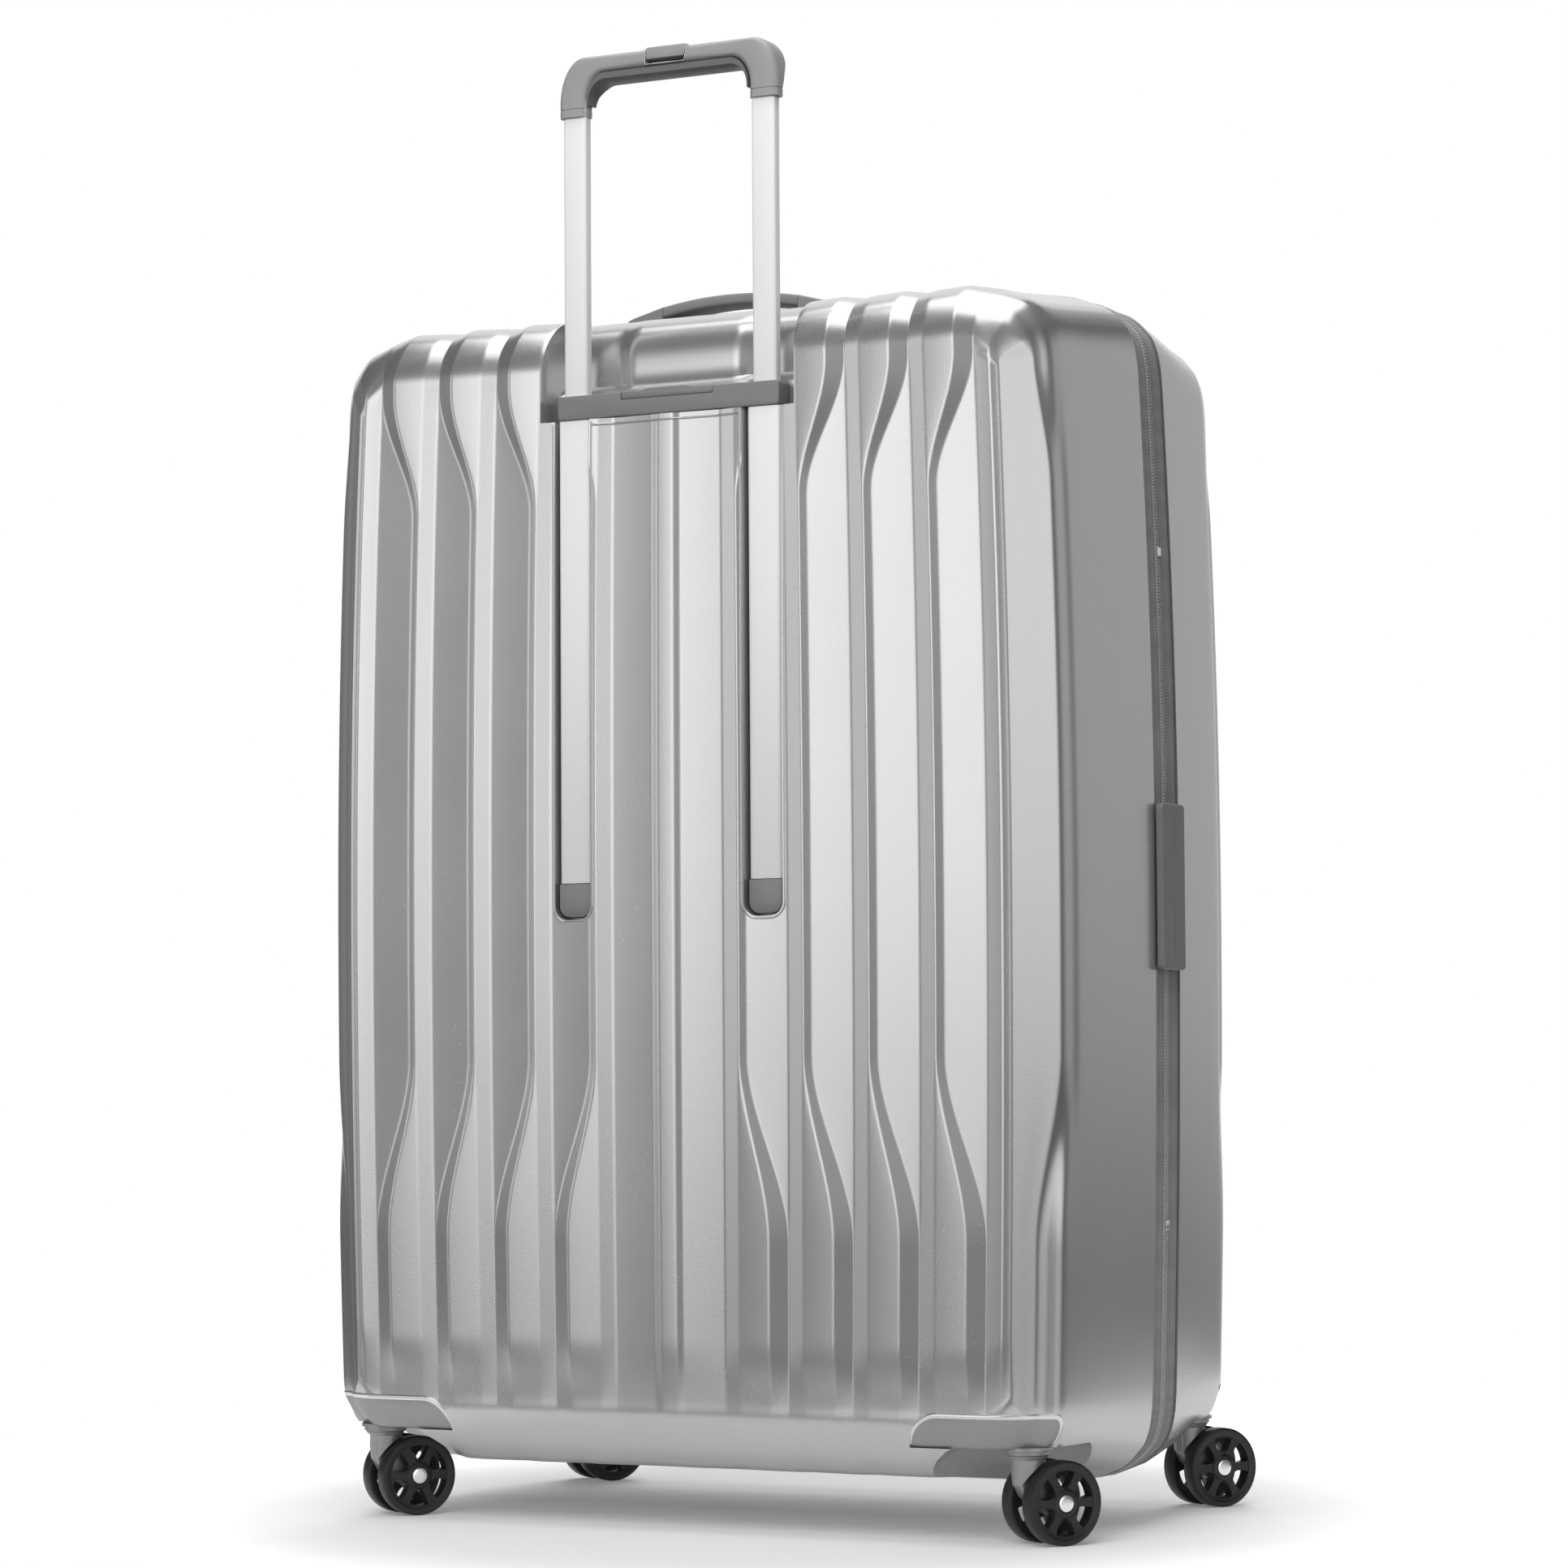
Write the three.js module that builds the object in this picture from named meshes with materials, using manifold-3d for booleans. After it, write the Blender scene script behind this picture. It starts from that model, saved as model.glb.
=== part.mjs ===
// Hard-shell spinner suitcase, millimetres, +Z up.
// The floor is z = 0 and the origin lies on it, midway between the four casters.
// The trolley side faces -Y, the zip runs round the case near y = 0, and the lid opens
// about the zip tape on the +X side.
import * as THREE from 'three';
import { mergeVertices } from 'three/addons/utils/BufferGeometryUtils.js';
import Module from 'manifold-3d';

const wasm = await Module();
wasm.setup();

// ---------------------------------------------------------------- driving dimensions

// Case
const caseWidth = 544; // across the zip line at mid height
const caseTop = 788; // highest point of the zip line above the floor
const caseBottom = 28; // lowest point of the zip line above the floor
const faceDepth = 163.5; // origin plane to the valleys of each fluted face
const wall = 2.4; // polycarbonate sheet
const barrelTop = 11; // the sides draw in this much towards the top
const barrelBottom = 7.7; // and this much towards the bottom
const lidDraw = 8.5; // the lid's sides draw in this much more towards its face
const bowAcross = 2.2; // the faces fall back this much towards their long edges
const bowAlong = 2.5; // and this much towards top and bottom
const sideRun = 35; // face edge to zip rim, measured across
const endRun = 52.5; // face edge to zip rim, measured up or down
const endRadius = 42; // roundover at top and bottom
const bevelRun = 23; // flat bevel down each long edge
const bevelDrop = 20;
const cornerDrop = 13; // the face's own corners are rounded by this much
const cornerRun = 24; // over this length
const cornerLean = 42; // degrees the outline has turned at a corner's tip
const rimSquare = 0.62; // how square the rim's corners are, 1 being an ellipse's

// Fluting of both faces
const fluteCount = 3; // full flutes outside each trolley channel
const ribHalf = 5.5; // half the middle rib
const narrowFace = 11; // the straight narrow facet beside each valley
const riser = 5; // the step beyond each crest
const crestHeight = 2.3;
const footHeight = 0.9;
const leafRise = 1.5; // extra height of a crest where it sways out
const leafSway = 21; // how far a crest line sways at its ends
const swayTop = 85; // length of the sway at the top end
const swayBottomStart = 220; // height above the face's lower edge where it begins
const swayBottomEnd = 103;

// Zip
const zipPlane = 4; // y of the closed coil
const tapeShown = 20; // tape visible on each side of the coil
const tapeTuck = 10; // tape sewn behind the shell's rim
const tapeThick = 1.2;
const coilHalf = 2.3; // one row of teeth, along y
const coilProud = 1.2;
const zipStopSpread = 215; // from the side handle's middle to each stop

// Trolley
const trolleySpacing = 137; // centre to centre of the posts
const sleeveWidth = 23.2;
const sleeveDepth = 12;
const sleeveWall = 1.4;
const sleeveSink = 3; // the sleeves' outer face below the valleys
const sleeveTop = 708.6;
const sleeveLength = 298;
const sleeveCapLength = 21.6;
const postWidth = 16.8;
const postDepth = 8.4;
const postWall = 1.3;
const postTop = 921;
const postLength = 281;
const channelGap = 1.8; // air between a sleeve and its channel
const channelRound = 9; // rounded lower end of a channel
const recessRoom = 4.4; // hand recess above the bracket: its sides beyond the sleeves
const recessDepth = 30; // below the valleys of the face, beside the posts
const bolsterRoom = 13.1; // from the channels to the recess's shallower middle
const bolsterDepth = 26;
const bracketHeight = 15.6;
const bracketDepth = 15;
const gripTop = 945;
const gripLegBottom = 906;
const gripLegWidth = 22.4;
const gripLegDepth = 11.6;
const gripBarHeight = 18;
const gripBarDepth = 22.2;
const gripLinerThick = 6.2; // under the bar
const gripLegLiner = 1.3; // on the legs' inner sides
const gripCollar = 5; // plain band at the foot of each leg
const buttonWidth = 30;
const buttonDepth = 10;
const buttonHeight = 7;
const buttonTravel = 3;
const tagWidth = 66;
const tagHeight = 4.6;
const tagTongue = 8.5;

// Casters
const wheelDiameter = 52;
const wheelWidth = 11;
const wheelGap = 12; // between the twin wheels
const axleDiameter = 6;
const hubDiameter = 19;
const hubCapDiameter = 10.8;
const hubCapThick = 1.6; // let into the hub
const tyreThick = 4.6;
const rimThick = 1.8;
const spokeCount = 6;
const spokeWaist = 5.8; // a spoke's width half way along
const spokeFlare = 9; // and at the rim
const casterTrail = 17; // swivel axis to axle
const casterInsetX = 41; // swivel axis to the zip rim's side
const casterInsetY = 33; // swivel axis to the face
const neckDiameter = 20;
const collarDiameter = 27.6;
const collarHeight = 5.2;
const plateRadius = 15.6; // of the flange above the collar
const swivelPin = 8;
const casterTurn = -33; // degrees the casters are swivelled
const guardHeight = 21.5;
const wheelClear = 7.6; // the wheels' tops to the guards' bottom edge
const guardProud = 1; // of the corner's skin, at the guard's top edge
const guardSeat = 5; // let into the corner
const guardLean = 0.2; // how fast it draws in below its top edge
const guardTip = 67; // caster axis to the guard's tip on the face
const guardRound = 20; // length over which the tip rounds up to full height
const guardEnd = 1; // caster axis to the guard's end on the side, towards the face
const guardEndRound = 10;
const wellRadius = 60;
const wellFlare = 6; // the well widens by this at the bottom edge

// Handles
const topHandleLength = 160;
const topHandleWidth = 27;
const topHandleThick = 7;
const topHandleRise = 8; // finger room under the middle of the strap
const topHandleY = -61;
const sideHandleLength = 106;
const sideHandleThick = 4.7;
const sideHandleZ = 405.7;

// Lock on the opening side
const lockLength = 74;
const lockWidth = 31;
const lockProud = 3.6;
const dialDiameter = 14;
const dialWidth = 5;
const dialPitch = 7.6;
const dialCount = 3;
const sliderLength = 10.6;
const sliderWidth = 12;
const tabLength = 28;
const tabWidth = 5.4;
const tabThick = 1.6;

// Inside
const liningThick = 1;
const liningGap = 1.2;
const dividerThick = 2.2;
const strapWidth = 38;
const strapThick = 1.6;
const buckleLength = 62;

const gap = 0.3; // between parts that touch
const slide = 0.35; // around parts that slide in each other

// ---------------------------------------------------------------- derived places

const halfWidth = caseWidth / 2;
const faceEdge = halfWidth - sideRun;
const faceTop = caseTop - endRun;
const faceBottom = caseBottom + endRun;
const midZ = (caseTop + caseBottom) / 2;
const halfHeight = (caseTop - caseBottom) / 2;
const backRim = zipPlane - tapeShown;
const frontRim = zipPlane + tapeShown;

const postX = trolleySpacing / 2;
const channelInner = postX - sleeveWidth / 2 - channelGap;
const channelOuter = postX + sleeveWidth / 2 + channelGap;
const sleeveBottom = sleeveTop - sleeveLength;
const channelBottom = sleeveBottom - sleeveCapLength - channelGap;
const sleeveFront = sleeveSink - faceDepth;
const recessHalf = postX + sleeveWidth / 2 + recessRoom;
const bolsterHalf = channelInner - bolsterRoom;
const channelFloor = sleeveFront + sleeveDepth + channelGap;
const bracketBottom = sleeveTop + gap;
const bracketTop = bracketBottom + bracketHeight;
const gripTravel = gripLegBottom - bracketTop - gap;
const gripHalf = postX + sleeveWidth / 2;
const gripFront = sleeveFront + 0.2;
const gripBack = gripFront + gripBarDepth;
const postFront = sleeveFront + sleeveWall + slide;
const postBack = postFront + postDepth;
const bracketFront = sleeveFront - 1;

const axleZ = wheelDiameter / 2;
const casterX = halfWidth - casterInsetX;
const casterY = faceDepth - casterInsetY;
const wheelOffset = (wheelGap + wheelWidth) / 2;
const guardBottom = wheelDiameter + wheelClear;
const guardTop = guardBottom + guardHeight;
const wellCeiling = guardBottom + 1;
const collarBottom = wellCeiling - gap - collarHeight;
const swivelTop = collarBottom - gap;
const axleHalf = wheelOffset + wheelWidth / 2;

const lockEdge = backRim - 1.8;
const lockBack = lockEdge - lockWidth;
const lockFace = -halfWidth - lockProud;
const lockFloor = lockFace + dialDiameter + 0.8;
const lockStep = lockFace + 2.1;

// ---------------------------------------------------------------- small helpers

const mix = (a, b, t) => a + (b - a) * t;
const clamp01 = (t) => Math.min(1, Math.max(0, t));
const smooth = (t) => clamp01(t) ** 2 * (3 - 2 * clamp01(t));
const degrees = (angle) => (angle * Math.PI) / 180;

/** The same surface with shared corners, turned outwards if it was inside out. */
function closed(geometry) {
  const bare = geometry.clone();
  bare.deleteAttribute('normal');
  bare.deleteAttribute('uv');
  const merged = mergeVertices(bare, 1e-4);
  const at = merged.attributes.position;
  const index = merged.index.array;
  let volume = 0;
  for (let i = 0; i < index.length; i += 3) {
    const [a, b, c] = [0, 1, 2].map((k) => new THREE.Vector3().fromBufferAttribute(at, index[i + k]));
    volume += a.dot(b.cross(c));
  }
  if (volume < 0) {
    for (let i = 0; i < index.length; i += 3) {
      [index[i + 1], index[i + 2]] = [index[i + 2], index[i + 1]];
    }
  }
  return merged;
}

function toSolid(geometry) {
  const merged = closed(geometry);
  return new wasm.Manifold(new wasm.Mesh({
    numProp: 3,
    vertProperties: new Float32Array(merged.attributes.position.array),
    triVerts: new Uint32Array(merged.index.array),
  }));
}

function toGeometry(solid) {
  const mesh = solid.getMesh();
  const geometry = new THREE.BufferGeometry();
  geometry.setAttribute('position', new THREE.BufferAttribute(mesh.vertProperties.slice(), 3));
  geometry.setIndex(Array.from(mesh.triVerts));
  geometry.computeVertexNormals();
  return geometry;
}

const join = (...solids) => solids.reduce((sum, solid) => sum.add(solid));
const cut = (solid, ...tools) => tools.reduce((rest, tool) => rest.subtract(tool), solid);

/** A box from its two corners. */
function box(x0, y0, z0, x1, y1, z1) {
  const geometry = new THREE.BoxGeometry(x1 - x0, y1 - y0, z1 - z0);
  return geometry.translate((x0 + x1) / 2, (y0 + y1) / 2, (z0 + z1) / 2);
}

/** A closed turned body about +Z from [radius, z] pairs. */
function turned(profile, segments) {
  const points = profile.map(([r, z]) => new THREE.Vector2(r, z));
  return new THREE.LatheGeometry(points, segments).rotateX(Math.PI / 2);
}

/** The same turned body laid along +X. */
const turnedX = (profile, segments) => turned(profile, segments).rotateY(Math.PI / 2);

function outline(points) {
  return new THREE.Shape(points.map(([a, b]) => new THREE.Vector2(a, b)));
}

function roundedRect(x0, y0, x1, y1, r) {
  const shape = new THREE.Shape();
  shape.absarc(x1 - r, y0 + r, r, -Math.PI / 2, 0);
  shape.absarc(x1 - r, y1 - r, r, 0, Math.PI / 2);
  shape.absarc(x0 + r, y1 - r, r, Math.PI / 2, Math.PI);
  shape.absarc(x0 + r, y0 + r, r, Math.PI, Math.PI * 1.5);
  return shape;
}

const extruded = (shape, depth, curveSegments = 3) =>
  new THREE.ExtrudeGeometry(shape, { depth, bevelEnabled: false, curveSegments });

const axes = {
  x: new THREE.Vector3(1, 0, 0),
  y: new THREE.Vector3(0, 1, 0),
  z: new THREE.Vector3(0, 0, 1),
};

/** An outline in X and Z, standing between y0 and y1. */
function plateXZ(shape, y0, y1, curveSegments) {
  const turn = new THREE.Matrix4().makeBasis(axes.x, axes.z, axes.y.clone().negate());
  return extruded(shape, y1 - y0, curveSegments).applyMatrix4(turn).translate(0, y1, 0);
}

/** An outline in Y and Z, running from x0 to x1. */
function plateYZ(shape, x0, x1, curveSegments) {
  const turn = new THREE.Matrix4().makeBasis(axes.y, axes.z, axes.x);
  return extruded(shape, x1 - x0, curveSegments).applyMatrix4(turn).translate(x0, 0, 0);
}

/** An outline in X and Y, rising from z0 to z1. */
const plateXY = (shape, z0, z1, curveSegments) =>
  extruded(shape, z1 - z0, curveSegments).translate(0, 0, z0);

const mirrorX = (geometry) => closed(geometry.clone().scale(-1, 1, 1));
const mirrorY = (geometry) => closed(geometry.clone().scale(1, -1, 1));

/** A skin built up from numbered points and faces. */
class Skin {
  constructor() {
    this.positions = [];
    this.faces = [];
  }

  /** Moves every point to where a form puts it. */
  reshape(form) {
    for (let i = 0; i < this.positions.length; i += 3) {
      this.positions.splice(i, 3, ...form(this.positions.slice(i, i + 3)));
    }
  }

  point([x, y, z]) {
    this.positions.push(x, y, z);
    return this.positions.length / 3 - 1;
  }

  face(...corners) {
    for (let i = 2; i < corners.length; i += 1) {
      this.faces.push(corners[0], corners[i - 1], corners[i]);
    }
  }

  geometry() {
    const geometry = new THREE.BufferGeometry();
    geometry.setAttribute('position', new THREE.Float32BufferAttribute(this.positions, 3));
    geometry.setIndex(this.faces);
    return closed(geometry);
  }
}

/** A body through equal sections: ends closed, or joined to each other in a loop. */
function loft(sections, loop = false) {
  const skin = new Skin();
  const rows = sections.map((section) => section.map((point) => skin.point(point)));
  const count = rows[0].length;
  const last = loop ? rows.length : rows.length - 1;
  for (let i = 0; i < last; i += 1) {
    const next = rows[(i + 1) % rows.length];
    for (let k = 0; k < count; k += 1) {
      const step = (k + 1) % count;
      skin.face(rows[i][k], rows[i][step], next[step], next[k]);
    }
  }
  if (!loop) {
    const [apex, ...others] = rows[0];
    skin.face(apex, ...others.reverse());
    skin.face(...rows[rows.length - 1]);
  }
  return skin.geometry();
}

// ---------------------------------------------------------------- form of the case

/** How far the crest lines have swayed out at a height: 0 in the middle, 1 at both ends. */
function sway(z) {
  const up = smooth((z - (faceTop - swayTop)) / swayTop);
  const down = smooth((faceBottom + swayBottomStart - z) / (swayBottomStart - swayBottomEnd));
  return Math.max(up, down);
}

/** Rounds the corners of the face's own outline. */
const cornerFall = (x) => cornerDrop * clamp01((Math.abs(x) - faceEdge) / cornerRun + 1) ** 2;

/** The cambered back: how far a face falls back at a place. */
const bow = (x, z) => bowAcross * (x / faceEdge) ** 2 + bowAlong * ((z - midZ) / halfHeight) ** 2;

/** The barrel form of the sides. */
function barrel([x, y, z]) {
  const along = (z - midZ) / halfHeight;
  const draw = z > midZ ? barrelTop : barrelBottom;
  return [x * (1 - (draw / halfWidth) * along ** 2), y, z];
}

/** The lid's further draw, growing from its rim towards its face. */
const lidForm = (rim) => ([x, y, z]) => {
  const share = clamp01((rim - y) / (faceDepth - frontRim));
  return [x * (1 - (lidDraw / halfWidth) * share), y, z];
};

const backForm = (point) => point;

/** The fluting's lines from the middle outwards, as place and height at a sway. */
function fluteLines() {
  const lines = [
    { at: () => ribHalf, high: () => crestHeight },
    { at: () => ribHalf + riser, high: () => footHeight },
  ];
  const firstValley = channelOuter + 3.2;
  const lastCrest = faceEdge - riser;
  const pitch = (lastCrest - firstValley - narrowFace) / fluteCount;
  const valleys = [channelInner - narrowFace - 4.3];
  for (let i = 0; i <= fluteCount; i += 1) {
    valleys.push(firstValley + i * pitch);
  }
  valleys.forEach((valley, i) => {
    const crest = valley + narrowFace;
    lines.push({ at: () => valley, high: () => 0 });
    lines.push({ at: () => crest, high: () => crestHeight });
    if (i < valleys.length - 1) {
      const next = valleys[i + 1];
      const start = crest + 1;
      lines.push({
        at: (s) => start + Math.min(leafSway, next - start - riser) * s,
        high: (s) => crestHeight + leafRise * s,
      });
      lines.push({
        at: (s) => mix(start + riser, next - 0.8, s),
        high: (s) => footHeight * (1 - s),
        foot: true,
      });
    }
  });
  lines.push({ at: () => faceEdge, high: () => footHeight });
  return lines;
}

const mirrored = (lines) => [
  ...lines.slice().reverse().map((line) => ({ ...line, at: (s) => -line.at(s) })),
  ...lines,
];

const outerLines = mirrored(fluteLines());
const ridgeLines = outerLines.filter((line) => !line.foot);

/** The sheet's inner side follows the fluting's straight lines only. */
const innerLines = outerLines
  .filter((line) => !line.foot && Math.abs(line.at(0) - line.at(1)) < gap)
  .map((line) => ({ at: line.at, high: () => Math.min(line.high(0), footHeight + 0.5) }));

const evenly = (count, from, to) => Array.from({ length: count + 1 }, (_, i) => mix(from, to, i / count));
const plainLines = evenly(6, -faceEdge, faceEdge).map((x) => ({ at: () => x, high: () => 0 }));

const outerRows = [
  faceBottom,
  faceBottom + 32,
  ...evenly(4, faceBottom + swayBottomEnd, faceBottom + swayBottomStart),
  ...evenly(3, faceBottom + swayBottomStart, faceTop - swayTop).slice(1, -1),
  ...evenly(4, faceTop - swayTop, faceTop),
];
const innerRows = evenly(5, faceBottom, faceTop);
const plainRows = evenly(4, faceBottom, faceTop);

/** Flutes run out softly above the lower edge. */
const runOut = (z) => mix(0.25, 1, smooth((z - faceBottom) / 40));

/**
 * A place on the outline of the face, by a key that runs clockwise as seen from outside:
 * 0 to 1 along the top, 2 to 3 down the right, 4 to 5 along the bottom, 6 to 7 up the
 * left, with the corners between. It gives x, z and the way outwards.
 */
function faceOutline(key) {
  const side = Math.floor(key) % 8;
  const t = key - Math.floor(key);
  const lean = degrees(cornerLean);
  const upper = faceTop - cornerDrop;
  const lower = faceBottom + cornerDrop;
  const topAngle = (x) => Math.PI / 2 - Math.sign(x) * (Math.PI / 2 - lean) * (cornerFall(x) / cornerDrop);
  if (side === 0) {
    const x = mix(-faceEdge, faceEdge, t);
    return { x, z: faceTop - cornerFall(x), angle: topAngle(x) };
  }
  if (side === 4) {
    const x = mix(faceEdge, -faceEdge, t);
    return { x, z: faceBottom + cornerFall(x), angle: -topAngle(x) };
  }
  const places = {
    1: { x: faceEdge, z: upper, angle: mix(lean, 0, t) },
    2: { x: faceEdge, z: mix(upper, lower, t), angle: 0 },
    3: { x: faceEdge, z: lower, angle: mix(0, -lean, t) },
    5: { x: -faceEdge, z: lower, angle: mix(lean - Math.PI, -Math.PI, t) },
    6: { x: -faceEdge, z: mix(lower, upper, t), angle: -Math.PI },
    7: { x: -faceEdge, z: upper, angle: mix(-Math.PI, -Math.PI - lean, t) },
  };
  return places[side];
}

/** Run, drop and slope of the wall at a level, from the face's edge (0) to the rim (6). */
function wallLevel(level, angle, z, rim) {
  const depth = faceDepth + rim;
  const narrowing = 1 - 0.5 * smooth((faceBottom + swayBottomStart - z) / 120)
    - 0.25 * smooth((z - faceTop + swayTop) / swayTop);
  const turnEnd = endRadius;
  const sides = [
    [0, 0, 0],
    [bevelRun * narrowing * 0.5, bevelDrop * narrowing * 0.5, 40],
    [bevelRun * narrowing, bevelDrop * narrowing, 50],
    [bevelRun + 4, bevelDrop + 8, 68],
    [bevelRun + 5.5, turnEnd, 84],
    [mix(bevelRun + 5.5, sideRun, 0.5), mix(turnEnd, depth, 0.5), 86],
    [sideRun, depth, 86],
  ];
  const ends = [0, 22.5, 45, 67.5, 90].map((a) => [
    endRadius * Math.sin(degrees(a)),
    endRadius * (1 - Math.cos(degrees(a))),
    a,
  ]);
  ends.push([mix(endRadius, endRun, 0.5), mix(turnEnd, depth, 0.5), 85]);
  ends.push([endRun, depth, 85]);
  const share = Math.sin(angle) ** 2;
  const [side, end] = [sides[level], ends[level]];
  return {
    sideRun: side[0],
    endRun: end[0],
    drop: mix(side[1], end[1], share),
    slope: degrees(mix(side[2], end[2], share)),
  };
}

const squared = (value, power) => Math.sign(value) * Math.abs(value) ** power;

/** A point of the case's skin at a level, set in by a distance, raised by a flute. */
function wallPoint(key, level, inset, rim, height = 0) {
  const place = faceOutline(key);
  const form = wallLevel(level, place.angle, place.z, rim);
  const fade = [1, 1, 0.95, 0.85, 0.7, 0.15, 0][level];
  const out = (height * fade - inset) * Math.sin(form.slope);
  const back = -(height * fade - inset) * Math.cos(form.slope);
  const square = mix(1, rimSquare, level / 6);
  const x = place.x + (form.sideRun + out) * squared(Math.cos(place.angle), square);
  const z = place.z + (form.endRun + out) * squared(Math.sin(place.angle), square);
  const camber = bow(place.x, place.z) * (1 - level / 6);
  const last = level === 6 ? rim : -faceDepth + form.drop + back + camber;
  return barrel([x, last, z]);
}

const cornerKeys = (side) => evenly(4, side, side + 1).slice(1, -1);
const coarseKeys = [
  ...evenly(8, 0, 1), ...cornerKeys(1), ...evenly(6, 2, 3), ...cornerKeys(3),
  ...evenly(8, 4, 5), ...cornerKeys(5), ...evenly(6, 6, 7), ...cornerKeys(7),
];
const sparseKeys = [
  ...evenly(4, 0, 1), 1.5, ...evenly(4, 2, 3), 3.5, ...evenly(4, 4, 5), 5.5, ...evenly(4, 6, 7), 7.5,
];

/** Triangles between two rings of keyed points, taken in the order of their keys. */
function bridge(skin, inner, outer) {
  let [i, j] = [0, 0];
  while (i < inner.length || j < outer.length) {
    const nextInner = i < inner.length ? (inner[i + 1]?.key ?? inner[0].key + 8) : Infinity;
    const nextOuter = j < outer.length ? (outer[j + 1]?.key ?? outer[0].key + 8) : Infinity;
    const a = inner[i % inner.length].id;
    const b = outer[j % outer.length].id;
    if (nextInner <= nextOuter) {
      skin.face(a, inner[(i + 1) % inner.length].id, b);
      i += 1;
    } else {
      skin.face(a, outer[(j + 1) % outer.length].id, b);
      j += 1;
    }
  }
}

/**
 * Half of the case as a closed body with a flat cap at its rim, face towards -Y.
 * The fluting's lines give the face its columns, and the ridges run on over the
 * roundover at the top. The cap may stand a little over the rim. A plain half keeps to
 * the sparse keys beyond the face. The form is applied last.
 */
function caseHalf({ lines, ridges, rows, inset, rim, form, over = 0, plain = false }) {
  const skin = new Skin();
  const upper = (x) => faceTop - cornerFall(x);
  const lower = (x) => faceBottom + cornerFall(x);
  const grid = rows.map((row) => lines.map((line) => {
    const x = line.at(sway(row));
    const z = mix(lower(x), upper(x), (row - faceBottom) / (faceTop - faceBottom));
    const height = line.high(sway(row)) * runOut(row);
    return skin.point(barrel([x, -faceDepth + inset - height + bow(x, z), z]));
  }));
  for (let j = 1; j < rows.length; j += 1) {
    for (let i = 1; i < lines.length; i += 1) {
      skin.face(grid[j - 1][i - 1], grid[j - 1][i], grid[j][i], grid[j][i - 1]);
    }
  }
  const keyOfX = (x, first) => first + (x / faceEdge + 1) / 2;
  const keyOfRow = (row) => 2 + (faceTop - row) / (faceTop - faceBottom);
  const top = rows.length - 1;
  const right = lines.length - 1;
  const inward = rows.slice(1, -1).map((row, n) => ({ key: keyOfRow(row), row: n + 1 }));
  const edge = [
    ...lines.map((line, i) => ({ key: keyOfX(line.at(1), 0), id: grid[top][i] })),
    ...inward.slice().reverse().map(({ key, row }) => ({ key, id: grid[row][right] })),
    ...lines.map((line, i) => ({ key: 5 - keyOfX(line.at(1), 0), id: grid[0][i] })).reverse(),
    ...inward.map(({ key, row }) => ({ key: 9 - key, id: grid[row][0] })),
  ];
  const ringKeys = [
    ...ridges.map((line) => ({ key: keyOfX(line.at(1), 0), height: line.high(1) })),
    ...[...cornerKeys(1), ...inward.map(({ key }) => key).reverse(), ...cornerKeys(3)],
    ...evenly(8, 4, 5), ...cornerKeys(5),
    ...inward.map(({ key }) => 9 - key), ...cornerKeys(7),
  ].map((entry) => (typeof entry === 'number' ? { key: entry, height: 0 } : entry));
  let previous = edge;
  for (let level = 1; level <= 6; level += 1) {
    const few = (plain ? sparseKeys : coarseKeys).map((key) => ({ key, height: 0 }));
    const keyed = level < 5 && !plain ? ringKeys : few;
    const ring = keyed.map(({ key, height }) => ({
      key,
      id: skin.point(wallPoint(key, level, inset, rim, height)),
    }));
    bridge(skin, previous, ring);
    previous = ring;
  }
  if (over > 0) {
    const ring = previous.map(({ key, id }) => {
      const [x, , z] = skin.positions.slice(3 * id, 3 * id + 3);
      return { key, id: skin.point([x, rim + over, z]) };
    });
    bridge(skin, previous, ring);
    previous = ring;
  }
  const centre = skin.point([0, rim + over, midZ]);
  previous.forEach(({ id }, i) => skin.face(id, previous[(i + 1) % previous.length].id, centre));
  skin.reshape(form);
  return toSolid(skin.geometry());
}

// ---------------------------------------------------------------- let into the shells

/** One trolley channel, open towards the face and at its top. */
function channelSlot(side, grow) {
  const [x0, x1] = [channelInner - grow, channelOuter + grow];
  const bottom = channelBottom - grow;
  const r = channelRound + grow;
  const shape = new THREE.Shape();
  shape.moveTo(x1, bracketBottom + 10);
  shape.lineTo(x0, bracketBottom + 10);
  shape.absarc(x0 + r, bottom + r, r, Math.PI, Math.PI * 1.5);
  shape.absarc(x1 - r, bottom + r, r, -Math.PI / 2, 0);
  const slot = plateXZ(shape, -faceDepth - 40, channelFloor + grow, 4);
  return toSolid(side < 0 ? mirrorX(slot) : slot);
}

/** The hand recess above the bracket, which rolls over into the top. */
function panelRecess(grow) {
  const section = (x, depth) => {
    const floor = -faceDepth + depth + grow;
    const shelf = Math.min(floor, bracketFront + bracketDepth + gap + grow);
    const roll = faceTop + 9.1;
    return [
      [x, -faceDepth - 60, caseTop + 20],
      [x, -faceDepth - 60, bracketBottom - 2 * gap - grow],
      [x, shelf, bracketBottom - 2 * gap - grow],
      [x, shelf, bracketTop + 2],
      [x, floor, bracketTop + 6],
      [x, floor, roll],
      [x, floor + 3 - 0.1 * grow, roll + 17 - 0.2 * grow],
      [x, floor + 10 - 0.35 * grow, roll + 29 - 0.65 * grow],
      [x, floor + 26 - 0.7 * grow, roll + 39 - 0.95 * grow],
      [x, floor + 44 - grow, roll + 50 - grow],
    ];
  };
  const half = [
    [recessHalf + 4 + grow, recessDepth - 24.5],
    [recessHalf + grow, recessDepth - 1],
    [bolsterHalf + 6, recessDepth],
    [bolsterHalf, bolsterDepth],
  ];
  const places = [...half.map(([x, depth]) => [-x, depth]), ...half.slice().reverse()];
  return toSolid(loft(places.map(([x, depth]) => section(x, depth))));
}

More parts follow.
